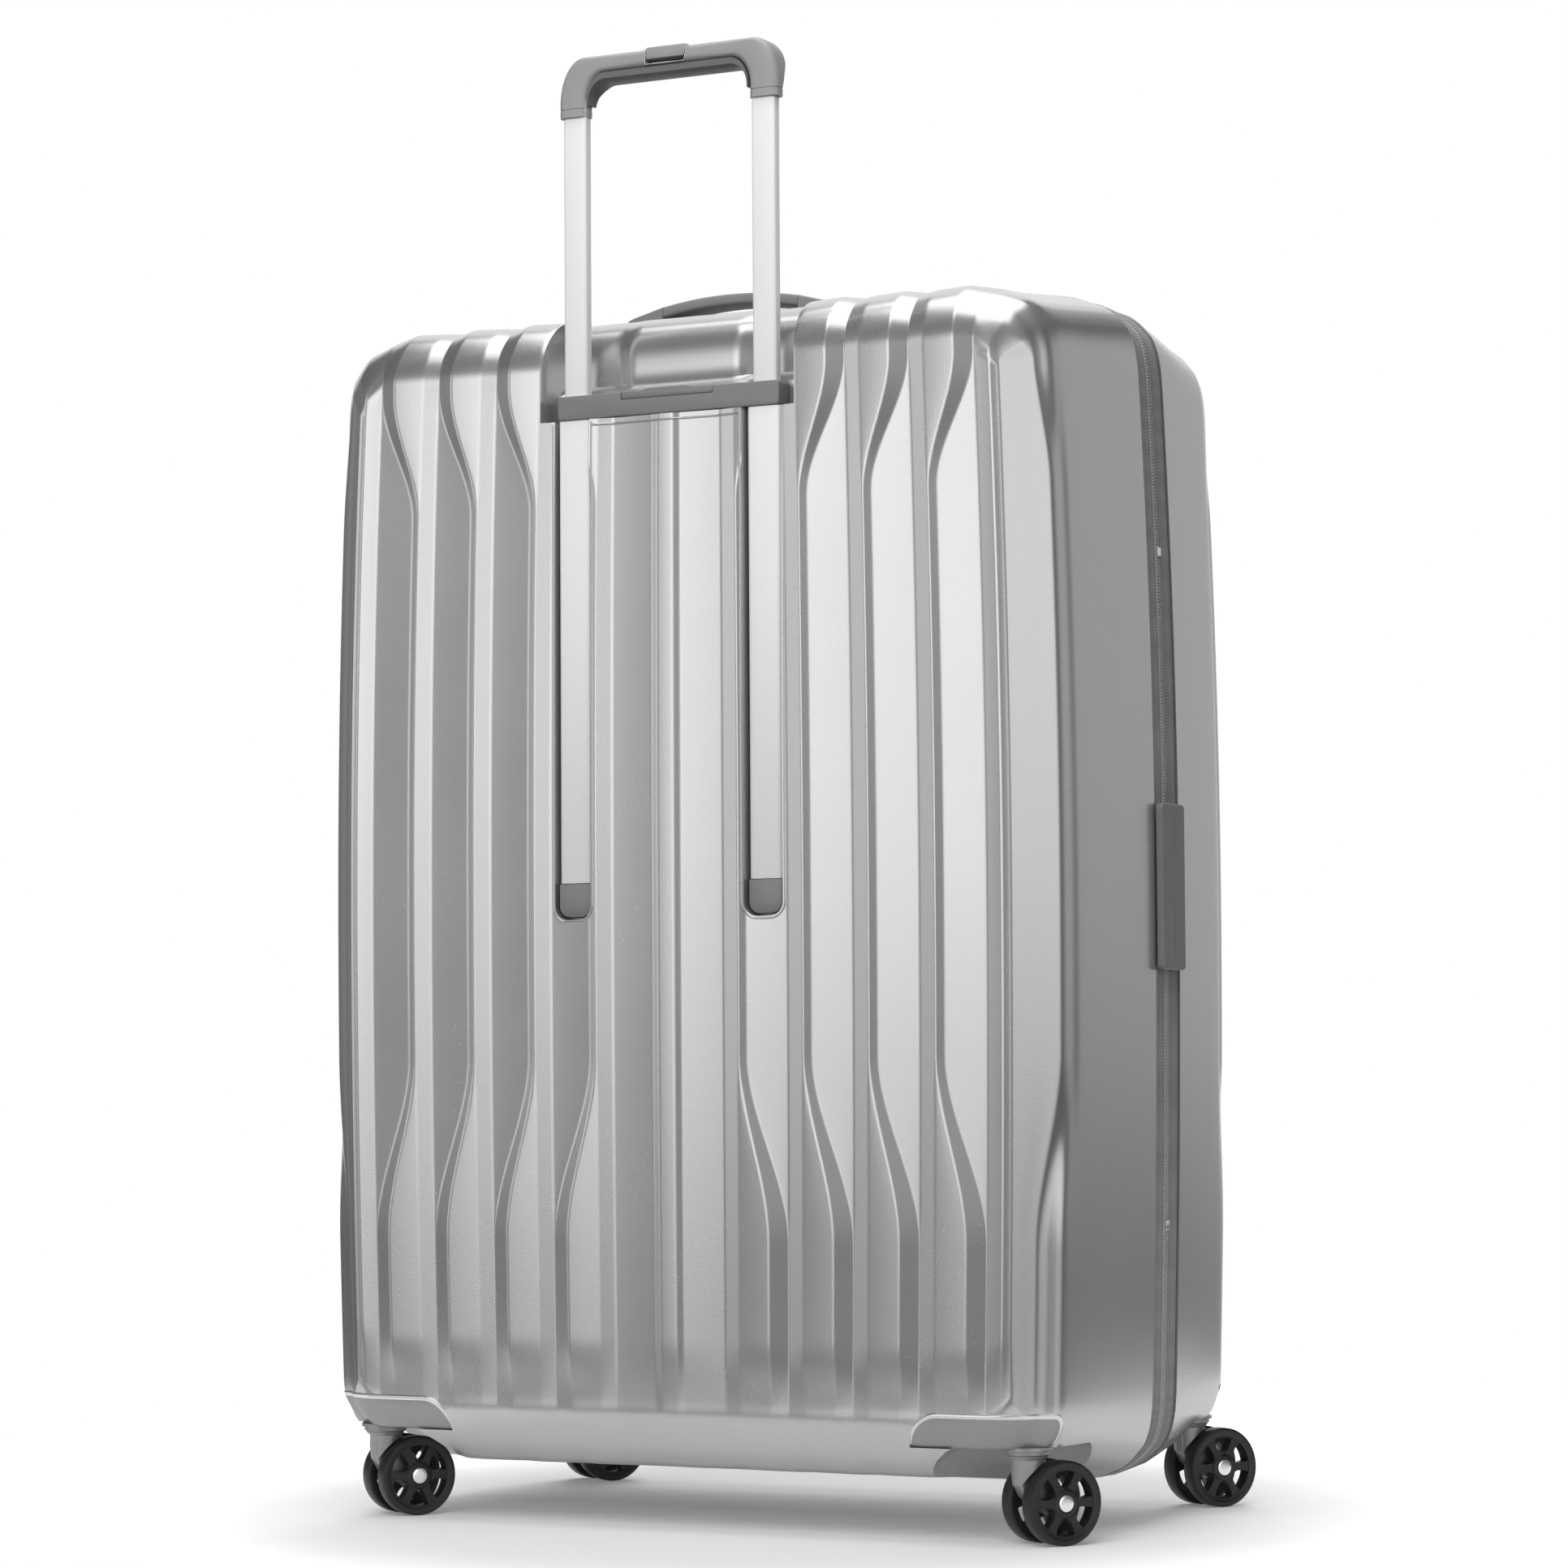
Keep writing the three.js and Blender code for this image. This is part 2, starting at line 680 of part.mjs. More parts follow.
/** A caster's well in the lower corner. */
function casterWell(side, grow) {
  const profile = [
    [0, 0],
    [wellRadius + wellFlare + grow, 0],
    [wellRadius + wellFlare + grow, 20],
    [wellRadius + grow, 44 + grow],
    [wellRadius - 12 + grow, wellCeiling + grow],
    [0, wellCeiling + grow],
  ];
  return toSolid(turned(profile, 28).translate(side * casterX, -casterY, 0));
}

/** A smooth half without fluting, for what is fitted to the corners. */
const smoothHalf = (inset, form, plain = false) => caseHalf({
  lines: plainLines, ridges: plainLines, rows: plainRows, inset, rim: backRim, form, plain,
});

/** The stretch of a corner that its guard covers: along the face and round to the side. */
function guardReach(side, room) {
  const [bottom, top] = [guardBottom - room, guardTop + room];
  const tip = casterX - guardTip - room;
  const front = new THREE.Shape();
  front.moveTo(halfWidth + 20, bottom);
  front.lineTo(halfWidth + 20, top);
  front.absellipse(tip + guardRound, bottom, guardRound, top - bottom, Math.PI / 2, Math.PI);
  const end = -casterY - guardEnd + room;
  const flank = new THREE.Shape();
  flank.moveTo(-faceDepth - 20, bottom);
  flank.absellipse(end - guardEndRound, bottom, guardEndRound, top - bottom, 0, Math.PI / 2);
  flank.lineTo(-faceDepth - 20, top);
  const pieces = [
    plateXZ(front, -faceDepth - 20, -casterY - guardEndRound - 5, 6),
    plateYZ(flank, casterX - 8, halfWidth + 20, 4),
  ].map((piece) => toSolid(side < 0 ? mirrorX(piece) : piece));
  const clear = plateRadius + 1 - room;
  const column = turned([[0, 0], [clear, 0], [clear, top + 10], [0, top + 10]], 16);
  return cut(join(...pieces), toSolid(column.translate(side * casterX, -casterY, 0)));
}

/** A corner guard: a thick skin over the corner that draws in below its top edge. */
function guardBody(side, form) {
  const leaning = ([x, y, z]) => {
    const draw = (guardTop - z) * guardLean;
    return form([x * (1 - draw / halfWidth), y * (1 - (0.5 * draw) / faceDepth), z]);
  };
  const layer = cut(smoothHalf(-guardProud, leaning), smoothHalf(guardSeat, form, true));
  return guardReach(side, 0).intersect(layer);
}

/** The seat cut for a guard. */
const guardSeatCut = (side, form, grow) =>
  cut(guardReach(side, gap + grow), smoothHalf(guardSeat + gap + grow, form, true));

const lockPocket = (grow) => toSolid(box(
  -halfWidth - 20, lockBack - gap - grow, sideHandleZ - lockLength / 2 - gap - grow,
  lockFloor + gap + grow, lockEdge + gap + grow, sideHandleZ + lockLength / 2 + gap + grow,
));

const footSeatZ = faceTop + endRadius + 3.7;
const footInner = topHandleLength / 2 - 30;

function footPocket(side, grow) {
  const [x0, x1] = [footInner - gap - grow, topHandleLength / 2 + gap + grow];
  const half = topHandleWidth / 2 + gap + grow;
  const shape = [
    Math.min(side * x0, side * x1), topHandleY - half, footSeatZ - gap - grow,
    Math.max(side * x0, side * x1), topHandleY + half, caseTop + 30,
  ];
  return toSolid(box(...shape));
}

const bothSides = (build) => [-1, 1].map(build);
const cornerCutters = (form) => (grow) => [
  ...bothSides((side) => casterWell(side, grow)),
  ...bothSides((side) => guardSeatCut(side, form, grow)),
];

/** The linings step over the casters and guards in plain corners. */
const liningCorners = (grow) => bothSides((side) => {
  const [x0, x1] = [casterX - guardTip - gap - grow, halfWidth + 20];
  return toSolid(box(
    Math.min(side * x0, side * x1), -faceDepth - 20, 0,
    Math.max(side * x0, side * x1), wellRadius - casterY + gap + grow, guardTop + gap + grow,
  ));
});

const backCutters = (corners) => (grow) => [
  ...bothSides((side) => channelSlot(side, grow)),
  panelRecess(grow),
  ...corners(grow),
  lockPocket(grow),
  ...bothSides((side) => footPocket(side, grow)),
];

// ---------------------------------------------------------------- shells and linings

/** A shell with everything let into it, the sheet following each recess. */
function shell(rim, form, cutters) {
  const outer = caseHalf({
    lines: outerLines, ridges: ridgeLines, rows: outerRows, inset: 0, rim, form,
  });
  const inner = caseHalf({
    lines: innerLines, ridges: innerLines, rows: innerRows, inset: wall, rim, form, over: 5,
  });
  return cut(cut(outer, ...cutters(0)), cut(inner, ...cutters(wall)));
}

const liningRim = backRim - tapeTuck - 2;

/** A fabric tray that stands just off the inside of a shell. */
function lining(rim, form, cutters, edge) {
  const layer = (inset) => cut(
    caseHalf({
      lines: plainLines, ridges: plainLines, rows: plainRows, inset, rim, form, plain: true,
    }),
    ...cutters(inset),
  );
  const near = wall + liningGap;
  const mouth = toSolid(box(-caseWidth, edge, -10, caseWidth, 60, caseTop + 40));
  return cut(layer(near), layer(near + liningThick), mouth);
}

/** A place on the zip line: set in from the rim, and drafted beyond it. */
function rimPoint(key, inset, y) {
  const place = faceOutline(key);
  const share = Math.sin(place.angle) ** 2;
  const draft = mix(sideRun - bevelRun - 5.5, endRun - endRadius, share) / (faceDepth + backRim - endRadius);
  const run = inset + Math.max(0, backRim - y) * draft;
  const x = place.x + (sideRun - run) * squared(Math.cos(place.angle), rimSquare);
  const z = place.z + (endRun - run) * squared(Math.sin(place.angle), rimSquare);
  return barrel([x, y, z]);
}

/** One side of the zip: the tape with its row of teeth, all round the case. */
function zipHalf(form) {
  const tapeOut = wall + 0.4;
  const section = [
    [tapeOut, backRim - tapeTuck],
    [tapeOut, zipPlane - gap - coilHalf - 0.7],
    [tapeOut - coilProud, zipPlane - gap - coilHalf],
    [tapeOut - coilProud, zipPlane - gap],
    [tapeOut + tapeThick, zipPlane - gap],
    [tapeOut + tapeThick, backRim - tapeTuck],
  ];
  const ring = (key) => section.map(([inset, y]) => form(rimPoint(key, inset, y)));
  return loft(coarseKeys.map(ring), true);
}

const acrossZip = (geometry) => closed(geometry.clone().scale(1, -1, 1).translate(0, 2 * zipPlane, 0));

/** Where the coil's outer side runs on the straight sides, at a height. */
const coilX = (z) => barrel([halfWidth - wall - 0.4 + coilProud, zipPlane, z])[0];

function zipStop(z) {
  const x = coilX(z) + gap;
  return toSolid(box(x, zipPlane - 4.5, z - 3.6, x + 1.5, zipPlane + 4.5, z + 3.6));
}

function dividerPanel() {
  const inset = wall + 1 + tapeThick + 2 * gap;
  const ring = (y) => coarseKeys.map((key) => rimPoint(key, inset, y));
  const front = frontRim - 1.8;
  return loft([ring(front), ring(front - dividerThick)]);
}

const strapY = liningRim - 5;
const strapSpread = 170; // the straps' ends above and below the buckle

/** A forked strap from the buckle to the upper and lower side of the lining. */
function packingStrap(side) {
  const inset = wall + liningGap + liningThick + 2 * gap;
  const end = barrel([halfWidth - inset - 1, strapY, midZ + strapSpread + strapWidth])[0];
  const start = buckleLength / 2 + gap;
  const half = strapWidth / 2;
  const arm = [[start, half + 8], [end, strapSpread + half], [end, strapSpread - half - 4]];
  const points = [
    ...arm, [start + 38, 0], ...arm.slice().reverse().map(([x, z]) => [x, -z]),
  ].map(([x, z]) => [side * x, midZ + z]);
  return plateXZ(outline(points), strapY, strapY + strapThick);
}

function strapBuckle() {
  const half = buckleLength / 2;
  const shape = roundedRect(-half, midZ - strapWidth / 2 - 10, half, midZ + strapWidth / 2 + 10, 12);
  return plateXZ(shape, strapY - 2.4, strapY + 3.6);
}

// ---------------------------------------------------------------- trolley

function tube(width, depth, thick, r, x, front, z0, z1) {
  const [x0, x1, y0, y1] = [x - width / 2, x + width / 2, front, front + depth];
  const shape = roundedRect(x0, y0, x1, y1, r);
  shape.holes.push(roundedRect(x0 + thick, y0 + thick, x1 - thick, y1 - thick, r - thick * 0.7));
  return closed(plateXY(shape, z0, z1));
}

const sleeve = (side) =>
  tube(sleeveWidth, sleeveDepth, sleeveWall, 2.6, side * postX, sleeveFront, sleeveBottom, sleeveTop);
const post = (side) =>
  tube(postWidth, postDepth, postWall, 2.2, side * postX, postFront, postTop - postLength, postTop);

function sleeveCap(side) {
  const [x0, x1] = [side * postX - sleeveWidth / 2, side * postX + sleeveWidth / 2];
  const [z0, z1, r] = [sleeveBottom - sleeveCapLength, sleeveBottom - gap, channelRound - channelGap];
  const shape = new THREE.Shape();
  shape.moveTo(x1, z1);
  shape.lineTo(x0, z1);
  shape.absarc(x0 + r, z0 + r, r, Math.PI, Math.PI * 1.5);
  shape.absarc(x1 - r, z0 + r, r, -Math.PI / 2, 0);
  return plateXZ(shape, sleeveFront - 0.4, channelFloor - gap, 4);
}

const bracketHalf = gripHalf;
const tagTop = bracketTop;
const tagHalf = tagWidth / 2;
const tagBack = bracketFront + 8.7;

/** The bridge that ties both sleeves together and guides the posts and the name tag. */
function bracket() {
  const body = toSolid(plateXZ(
    roundedRect(-bracketHalf, bracketBottom, bracketHalf, bracketTop, 2.5),
    bracketFront, bracketFront + bracketDepth,
  ));
  const holes = bothSides((side) => toSolid(box(
    side * postX - postWidth / 2 - slide, postFront - slide, bracketBottom - 1,
    side * postX + postWidth / 2 + slide, postBack + slide, bracketTop + 1,
  )));
  const head = box(
    -tagHalf - slide, bracketFront - 1, tagTop - tagHeight - gap,
    tagHalf + slide, tagBack + slide, bracketTop + 1,
  );
  const slot = box(
    -tagHalf + 2 - slide, bracketFront + 3, tagTop - tagHeight - tagTongue - 2 * gap,
    tagHalf - 2 + slide, bracketFront + 6.7, bracketTop,
  );
  return cut(body, ...holes, toSolid(head), toSolid(slot));
}

/** The pull-up name tag: a finger hump on its head, and the tongue that slides in the slot. */
function nameTag() {
  const shape = outline([
    [-tagHalf, tagTop - tagHeight], [tagHalf, tagTop - tagHeight], [tagHalf, tagTop],
    [20, tagTop], [17, tagTop + 1.3], [-17, tagTop + 1.3], [-20, tagTop], [-tagHalf, tagTop],
  ]);
  const head = toSolid(plateXZ(shape, bracketFront + 0.2, tagBack));
  const tongue = toSolid(box(
    -tagHalf + 2, bracketFront + 3 + slide, tagTop - tagHeight - tagTongue,
    tagHalf - 2, bracketFront + 6.7 - slide, tagTop - 1,
  ));
  return join(head, tongue);
}

const legOuter = postX + gripLegWidth / 2;
const legInner = postX - gripLegWidth / 2;
const barUnder = gripTop - gripBarHeight;

/** The U of the grip, its opening grown by a margin on the legs and one under the bar. */
function gripOutline(legMargin, barMargin, foot, outer, crown) {
  const r = 12;
  const shape = new THREE.Shape();
  shape.moveTo(outer, foot);
  shape.absellipse(outer - crown, gripTop - 30, crown, 30, 0, Math.PI / 2);
  shape.absellipse(crown - outer, gripTop - 30, crown, 30, Math.PI / 2, Math.PI);
  shape.lineTo(-outer, foot);
  shape.lineTo(-legInner - legMargin, foot);
  const turn = [legInner - r, barUnder - r, r + legMargin, r + barMargin];
  shape.absellipse(-turn[0], ...turn.slice(1), Math.PI, Math.PI / 2, true);
  shape.absellipse(...turn, Math.PI / 2, 0, true);
  shape.lineTo(legInner + legMargin, foot);
  return shape;
}

/** The grip seen from the side: slim at the feet, flaring back to the bar. */
function gripSide(inset) {
  const [front, back] = [gripFront + inset, gripBack - inset];
  const legBack = gripFront + gripLegDepth - inset;
  return plateYZ(outline([
    [front, gripLegBottom], [legBack, gripLegBottom], [legBack, gripLegBottom + 6],
    [mix(legBack, back, 0.35), gripLegBottom + 14], [mix(legBack, back, 0.85), barUnder],
    [back, barUnder + 6], [back, gripTop - 5], [back - 1.5, gripTop - 1.5], [back - 5, gripTop],
    [front + 3, gripTop], [front, gripTop - 3],
  ]), -legOuter - 1, legOuter + 1);
}

function gripShell() {
  const u = toSolid(plateXZ(
    gripOutline(gripLegLiner + gap, gripLinerThick + gap, gripLegBottom, legOuter, 18),
    gripFront - 1, gripBack + 1, 6,
  ));
  const collars = bothSides((side) => toSolid(box(
    Math.min(side * legInner, side * legOuter), gripFront, gripLegBottom,
    Math.max(side * legInner, side * legOuter), gripFront + gripLegDepth, gripLegBottom + gripCollar,
  )));
  const sockets = bothSides((side) => toSolid(box(
    side * postX - postWidth / 2 - gap, postFront - gap, gripLegBottom - 1,
    side * postX + postWidth / 2 + gap, postBack + gap, postTop + gap,
  )));
  const half = buttonWidth / 2 + gap;
  const pocket = toSolid(box(
    -half, gripFront - 1, gripTop - buttonHeight - gap - buttonTravel,
    half, gripFront + buttonDepth + gap, gripTop + 1,
  ));
  return cut(join(u.intersect(toSolid(gripSide(0))), ...collars), ...sockets, pocket);
}

/** The soft liner of the opening, down both legs and under the bar. */
function gripLiner() {
  const foot = gripLegBottom + gripCollar + gap;
  const r = 12;
  const [ix, iz] = [legInner - r, barUnder - r];
  const shape = new THREE.Shape();
  shape.moveTo(legInner + gripLegLiner, foot);
  shape.absellipse(ix, iz, r + gripLegLiner, r + gripLinerThick, 0, Math.PI / 2);
  shape.absellipse(-ix, iz, r + gripLegLiner, r + gripLinerThick, Math.PI / 2, Math.PI);
  shape.lineTo(-legInner - gripLegLiner, foot);
  shape.lineTo(-legInner, foot);
  shape.absellipse(-ix, iz, r, r, Math.PI, Math.PI / 2, true);
  shape.absellipse(ix, iz, r, r, Math.PI / 2, 0, true);
  shape.lineTo(legInner, foot);
  return toSolid(plateXZ(shape, gripFront, gripBack, 6)).intersect(toSolid(gripSide(0.7)));
}

/** The release button in the bar's front upper edge, one end slanted. */
function gripButton() {
  const half = buttonWidth / 2;
  const bottom = gripTop - buttonHeight;
  const shape = outline([
    [-half, bottom], [half - 2.4, bottom], [half, gripTop - 1], [half - 1, gripTop + 0.8],
    [1 - half, gripTop + 0.8], [-half, gripTop - 0.2],
  ]);
  return plateXZ(shape, gripFront + 0.3, gripFront + buttonDepth);
}

// ---------------------------------------------------------------- handles

/** The strap of the top handle, arched to leave finger room. */
function topStrap() {
  const half = footInner - gap;
  const lower = [[-1, -4.9], [-0.72, -2.6], [-0.36, -0.6], [0, 0], [0.36, -0.6], [0.72, -2.6], [1, -4.9]];
  const points = [
    ...lower.map(([t, z]) => [t * half, footSeatZ + topHandleRise + 2 + z]),
    ...lower.slice().reverse().map(([t, z]) => [t * half, footSeatZ + topHandleRise + 2 + topHandleThick + z * 0.95]),
  ];
  return plateXZ(outline(points), topHandleY - topHandleWidth / 2, topHandleY + topHandleWidth / 2);
}

/** The tapered foot at each end of the top handle. */
function handleFoot(side) {
  const tip = topHandleLength / 2;
  const top = footSeatZ + topHandleRise + 2 + topHandleThick - 4.7;
  const shape = outline([
    [footInner, footSeatZ], [tip, footSeatZ], [tip, footSeatZ + 3.4], [tip - 5, footSeatZ + 5.8],
    [tip - 16, footSeatZ + 8.6], [footInner, top],
  ]);
  const half = topHandleWidth / 2;
  const bar = toSolid(plateXZ(shape, topHandleY - half, topHandleY + half));
  const plan = toSolid(plateXY(
    roundedRect(footInner - 20, topHandleY - half, tip, topHandleY + half, 7), footSeatZ - 1, top + 1,
  ));
  const foot = toGeometry(bar.intersect(plan));
  return side < 0 ? mirrorX(foot) : foot;
}

/** The strap handle on the hinge side, standing off the zip tape on an anchor at each end. */
function sideHandle() {
  const half = sideHandleLength / 2;
  const inner = halfWidth + 0.8;
  const strap = toSolid(plateYZ(
    roundedRect(backRim - 0.5, sideHandleZ - half, frontRim - 3, sideHandleZ + half, 3),
    inner, inner + sideHandleThick,
  ));
  const anchors = [-1, 1].map((end) => {
    const [z0, z1] = [half - 16, half - 3].map((z) => sideHandleZ + end * z).sort((a, b) => a - b);
    return toSolid(box(halfWidth - wall - 0.4 + gap, backRim + 0.5, z0, inner + 1, zipPlane - 3.3, z1));
  });
  return join(strap, ...anchors);
}

// ---------------------------------------------------------------- lock and zip sliders

const dialX = lockFace - 1.2 + dialDiameter / 2;
const dialY = lockBack + 10.8;
const dialZ = (i) => sideHandleZ + 8 + (i - (dialCount - 1) / 2) * dialPitch;
const lockButtonSize = 10;
const lockButtonZ = sideHandleZ - lockLength / 2 + 12;
const stub = 1.6;
const stubReach = 1.1;

function lockHousing() {
  const [z0, z1] = [sideHandleZ - lockLength / 2, sideHandleZ + lockLength / 2];
  const body = toSolid(plateYZ(roundedRect(lockBack, z0, lockEdge, z1, 3), lockFace, lockFloor));
  const step = toSolid(box(lockFace - 1, lockEdge - 10.8, z0 - 1, lockStep, lockEdge + 1, z1 + 1));
  const windows = evenly(dialCount - 1, 0, dialCount - 1).map((i) => toSolid(box(
    lockFace - 1, dialY - dialDiameter / 2 - gap, dialZ(i) - dialWidth / 2 - gap,
    dialX + dialDiameter / 2 + gap, dialY + dialDiameter / 2 + gap, dialZ(i) + dialWidth / 2 + gap,
  )));
  const reach = dialWidth / 2 + stubReach + gap;
  const bore = toSolid(turned([
    [0, dialZ(0) - reach], [stub + gap, dialZ(0) - reach],
    [stub + gap, dialZ(dialCount - 1) + reach], [0, dialZ(dialCount - 1) + reach],
  ], 12).translate(dialX, dialY, 0));
  const half = lockButtonSize / 2 + gap;
  const pocket = toSolid(box(
    lockFace - 1, dialY - half, lockButtonZ - half, lockFace + 6 + gap, dialY + half, lockButtonZ + half,
  ));
  return cut(body, step, ...windows, bore, pocket);
}

/** A ten-faced number wheel with a stub axle at each end. */
function dial() {
  const [r, half] = [dialDiameter / 2, dialWidth / 2];
  return turned([
    [0, -half - stubReach], [stub, -half - stubReach], [stub, -half], [r - 0.5, -half], [r, 0.5 - half],
    [r, half - 0.5], [r - 0.5, half], [stub, half], [stub, half + stubReach], [0, half + stubReach],
  ], 10);
}

function lockButton() {
  const half = lockButtonSize / 2;
  const shape = roundedRect(dialY - half, lockButtonZ - half, dialY + half, lockButtonZ + half, 2);
  return plateYZ(shape, lockFace - 0.6, lockFace + 3.6);
}

const sliderBase = -coilX(sideHandleZ) - gap;
const sliderTop = sliderBase - 5;
const tabX = sliderTop - 1.3;

/** A zip slider that rides over the coil, with a lug at each end for its pull tab. */
function zipSlider(z0) {
  const z1 = z0 + sliderLength;
  const half = sliderWidth / 2;
  const body = toSolid(plateYZ(
    roundedRect(zipPlane - half, z0, zipPlane + half, z1, 2.2), sliderTop, sliderBase,
  ));
  const edge = (sliderLength - tabWidth) / 2 - gap;
  const lugs = [[z0 + 0.4, z0 + edge], [z1 - edge, z1 - 0.4]].map(([a, b]) =>
    toSolid(box(tabX - 1.2, zipPlane - 2, a, sliderTop + 1, zipPlane + 2, b)));
  return join(body, ...lugs);
}

/** A pull tab lying towards the lock, its end turned in to reach the lock's step. */
function pullTab(z0) {
  const a = z0 + (sliderLength - tabWidth) / 2;
  const tip = zipPlane - tabLength;
  const [outer, inner] = [tabX - tabThick / 2, tabX + tabThick / 2];
  const shape = outline([
    [outer, tip], [lockStep - gap - 0.4, tip], [lockStep - gap - 0.4, tip + 3.4], [inner, tip + 3.4],
    [inner, zipPlane + tabThick / 2], [outer, zipPlane + tabThick / 2],
  ]);
  return plateXY(shape, a, a + tabWidth);
}

// ---------------------------------------------------------------- casters

/** The swivelling fork: pin, neck cleared for the wheels, and the leg between them. */
function fork() {
  const neck = toSolid(turned([
    [0, swivelTop - 18], [neckDiameter / 2, swivelTop - 18], [neckDiameter / 2, swivelTop], [0, swivelTop],
  ], 16));
  const r = wheelDiameter / 2 + 1.2;
  const sweep = toSolid(turnedX([[0, -20], [r, -20], [r, 20], [0, 20]], 32)
    .translate(0, casterTrail, axleZ));
  const pinTop = wellCeiling - 2 * gap;
  const pin = toSolid(turned([
    [0, swivelTop - 2], [swivelPin / 2, swivelTop - 2], [swivelPin / 2, pinTop], [0, pinTop],
  ], 12));
  const eye = hubDiameter / 2;
  const shape = new THREE.Shape();
  shape.moveTo(9.5, swivelTop);
  shape.lineTo(-9.5, swivelTop);
  shape.lineTo(-9.5, swivelTop - 12);
  shape.absarc(casterTrail, axleZ, eye, degrees(220), degrees(400));
  shape.lineTo(9.5, swivelTop - 8);
  const half = wheelGap / 2 - 0.8;
  const leg = toSolid(plateYZ(shape, -half, half, 6));
  const bore = toSolid(turnedX([
    [0, -20], [axleDiameter / 2 + gap, -20], [axleDiameter / 2 + gap, 20], [0, 20],
  ], 12).translate(0, casterTrail, axleZ));
  return cut(join(cut(neck, sweep), leg, pin), bore);
}

function axle() {
  const [r, head] = [axleDiameter / 2, hubCapDiameter / 2];
  const outer = axleHalf + gap;
  const inner = outer - hubCapThick;
  return turnedX([
    [0, -outer], [head, -outer], [head, -inner], [r, -inner],
    [r, inner], [head, inner], [head, outer], [0, outer],
  ], 14);
}

/** A wheel: tyre and rim, spokes and hub, about its own centre. */
function wheel() {
  const [r, half] = [wheelDiameter / 2, wheelWidth / 2];
  const bed = r - tyreThick;
  const ring = toSolid(turnedX([
    [bed - rimThick, -half + 2], [r - 2.5, -half], [r, -half + 0.6],
    [r, half - 0.6], [r - 2.5, half], [bed - rimThick, half - 2], [bed - rimThick, -half + 2],
  ], 24));
  const bore = axleDiameter / 2 + gap;
  const end = half - hubCapThick;
  const hub = toSolid(turnedX([
    [bore, -end], [hubDiameter / 2, -end], [hubDiameter / 2, end], [bore, end], [bore, -end],
  ], 12));
  const [root, tip] = [hubDiameter / 2 - 1, bed - rimThick / 2];
  const flank = [[spokeWaist / 2, root], [spokeWaist / 2, mix(root, tip, 0.5)], [spokeFlare / 2, tip]];
  const shape = outline([...flank, ...flank.slice().reverse().map(([y, z]) => [-y, z])]);
  const spokes = evenly(spokeCount, 0, 360).slice(0, -1).map((angle) => toSolid(
    plateYZ(shape, -half + 2, half - 2).rotateX(degrees(angle + 90)),
  ));
  return join(ring, hub, ...spokes);
}

/** The plate and collar a fork turns in, about its own swivel axis. */
function casterPlate() {
  const top = wellCeiling - gap;
  const [bore, collar] = [swivelPin / 2 + gap, collarDiameter / 2];
  return turned([
    [bore, collarBottom], [collar, collarBottom], [collar, top - 2], [plateRadius, top - 2],
    [plateRadius, top], [bore, top], [bore, collarBottom],
  ], 20);
}

// ---------------------------------------------------------------- finishes

const finishes = {
  sheet: { color: 0xb4b5b7, roughness: 0.4, metalness: 0.35 },
  lining: { color: 0x6f7376, roughness: 0.95, metalness: 0 },
  tape: { color: 0x8e9092, roughness: 0.9, metalness: 0 },
  webbing: { color: 0x3d3f42, roughness: 0.9, metalness: 0 },
  satin: { color: 0xd9dadb, roughness: 0.3, metalness: 0.9 },
  bright: { color: 0xe8e9ea, roughness: 0.18, metalness: 0.95 },
  greyPlastic: { color: 0x86888a, roughness: 0.5, metalness: 0.1 },
  darkPlastic: { color: 0x55575a, roughness: 0.6, metalness: 0 },
  guard: { color: 0x9b9d9f, roughness: 0.45, metalness: 0.25 },
  strap: { color: 0x8b8d90, roughness: 0.85, metalness: 0 },
  black: { color: 0x17181a, roughness: 0.55, metalness: 0 },
  steel: { color: 0xa9abad, roughness: 0.35, metalness: 0.9 },
};

const suitcase = new THREE.Group();
suitcase.name = 'suitcase';

/** Adds one named part, from a solid or a geometry. */
function add(name, shape, finish, parent = suitcase) {
  const geometry = shape.getMesh ? toGeometry(shape) : closed(shape);
  geometry.computeVertexNormals();
  const mesh = new THREE.Mesh(geometry, new THREE.MeshStandardMaterial(finishes[finish]));
  mesh.name = name;
  parent.add(mesh);
  return mesh;
}

const frontSolid = (solid) => mirrorY(toGeometry(solid));

// ---------------------------------------------------------------- assembly

const lidRim = -frontRim; // as the lid is modelled, face towards -Y
const onLid = lidForm(lidRim);

const backInside = lining(backRim, backForm, backCutters(liningCorners), liningRim);
const frontInside = lining(lidRim, onLid, liningCorners, lidRim - tapeTuck - 2);

add('back_shell', shell(backRim, backForm, backCutters(cornerCutters(backForm))), 'sheet');
add('front_shell', frontSolid(shell(lidRim, onLid, cornerCutters(onLid))), 'sheet');
add('back_lining', backInside, 'lining');
add('front_lining', frontSolid(frontInside), 'lining');
add('back_zip_half', cut(toSolid(zipHalf(backForm)), lockPocket(wall + gap)), 'tape');
add('front_zip_half', acrossZip(zipHalf(lidForm(backRim))), 'tape');
add('zip_stop_upper', zipStop(sideHandleZ + zipStopSpread), 'bright');
add('zip_stop_lower', zipStop(sideHandleZ - zipStopSpread), 'bright');
add('divider_panel', dividerPanel(), 'lining');
add('strap_buckle', strapBuckle(), 'black');
add('bridge_bracket', bracket(), 'greyPlastic');
add('id_tag', nameTag(), 'greyPlastic');
add('grip_shell', gripShell(), 'greyPlastic');
add('grip_liner', gripLiner(), 'darkPlastic');
add('grip_button', gripButton(), 'greyPlastic');
add('top_handle', topStrap(), 'strap');
add('side_handle', sideHandle(), 'strap');
add('lock_housing', lockHousing(), 'greyPlastic');
add('lock_button', lockButton(), 'steel');

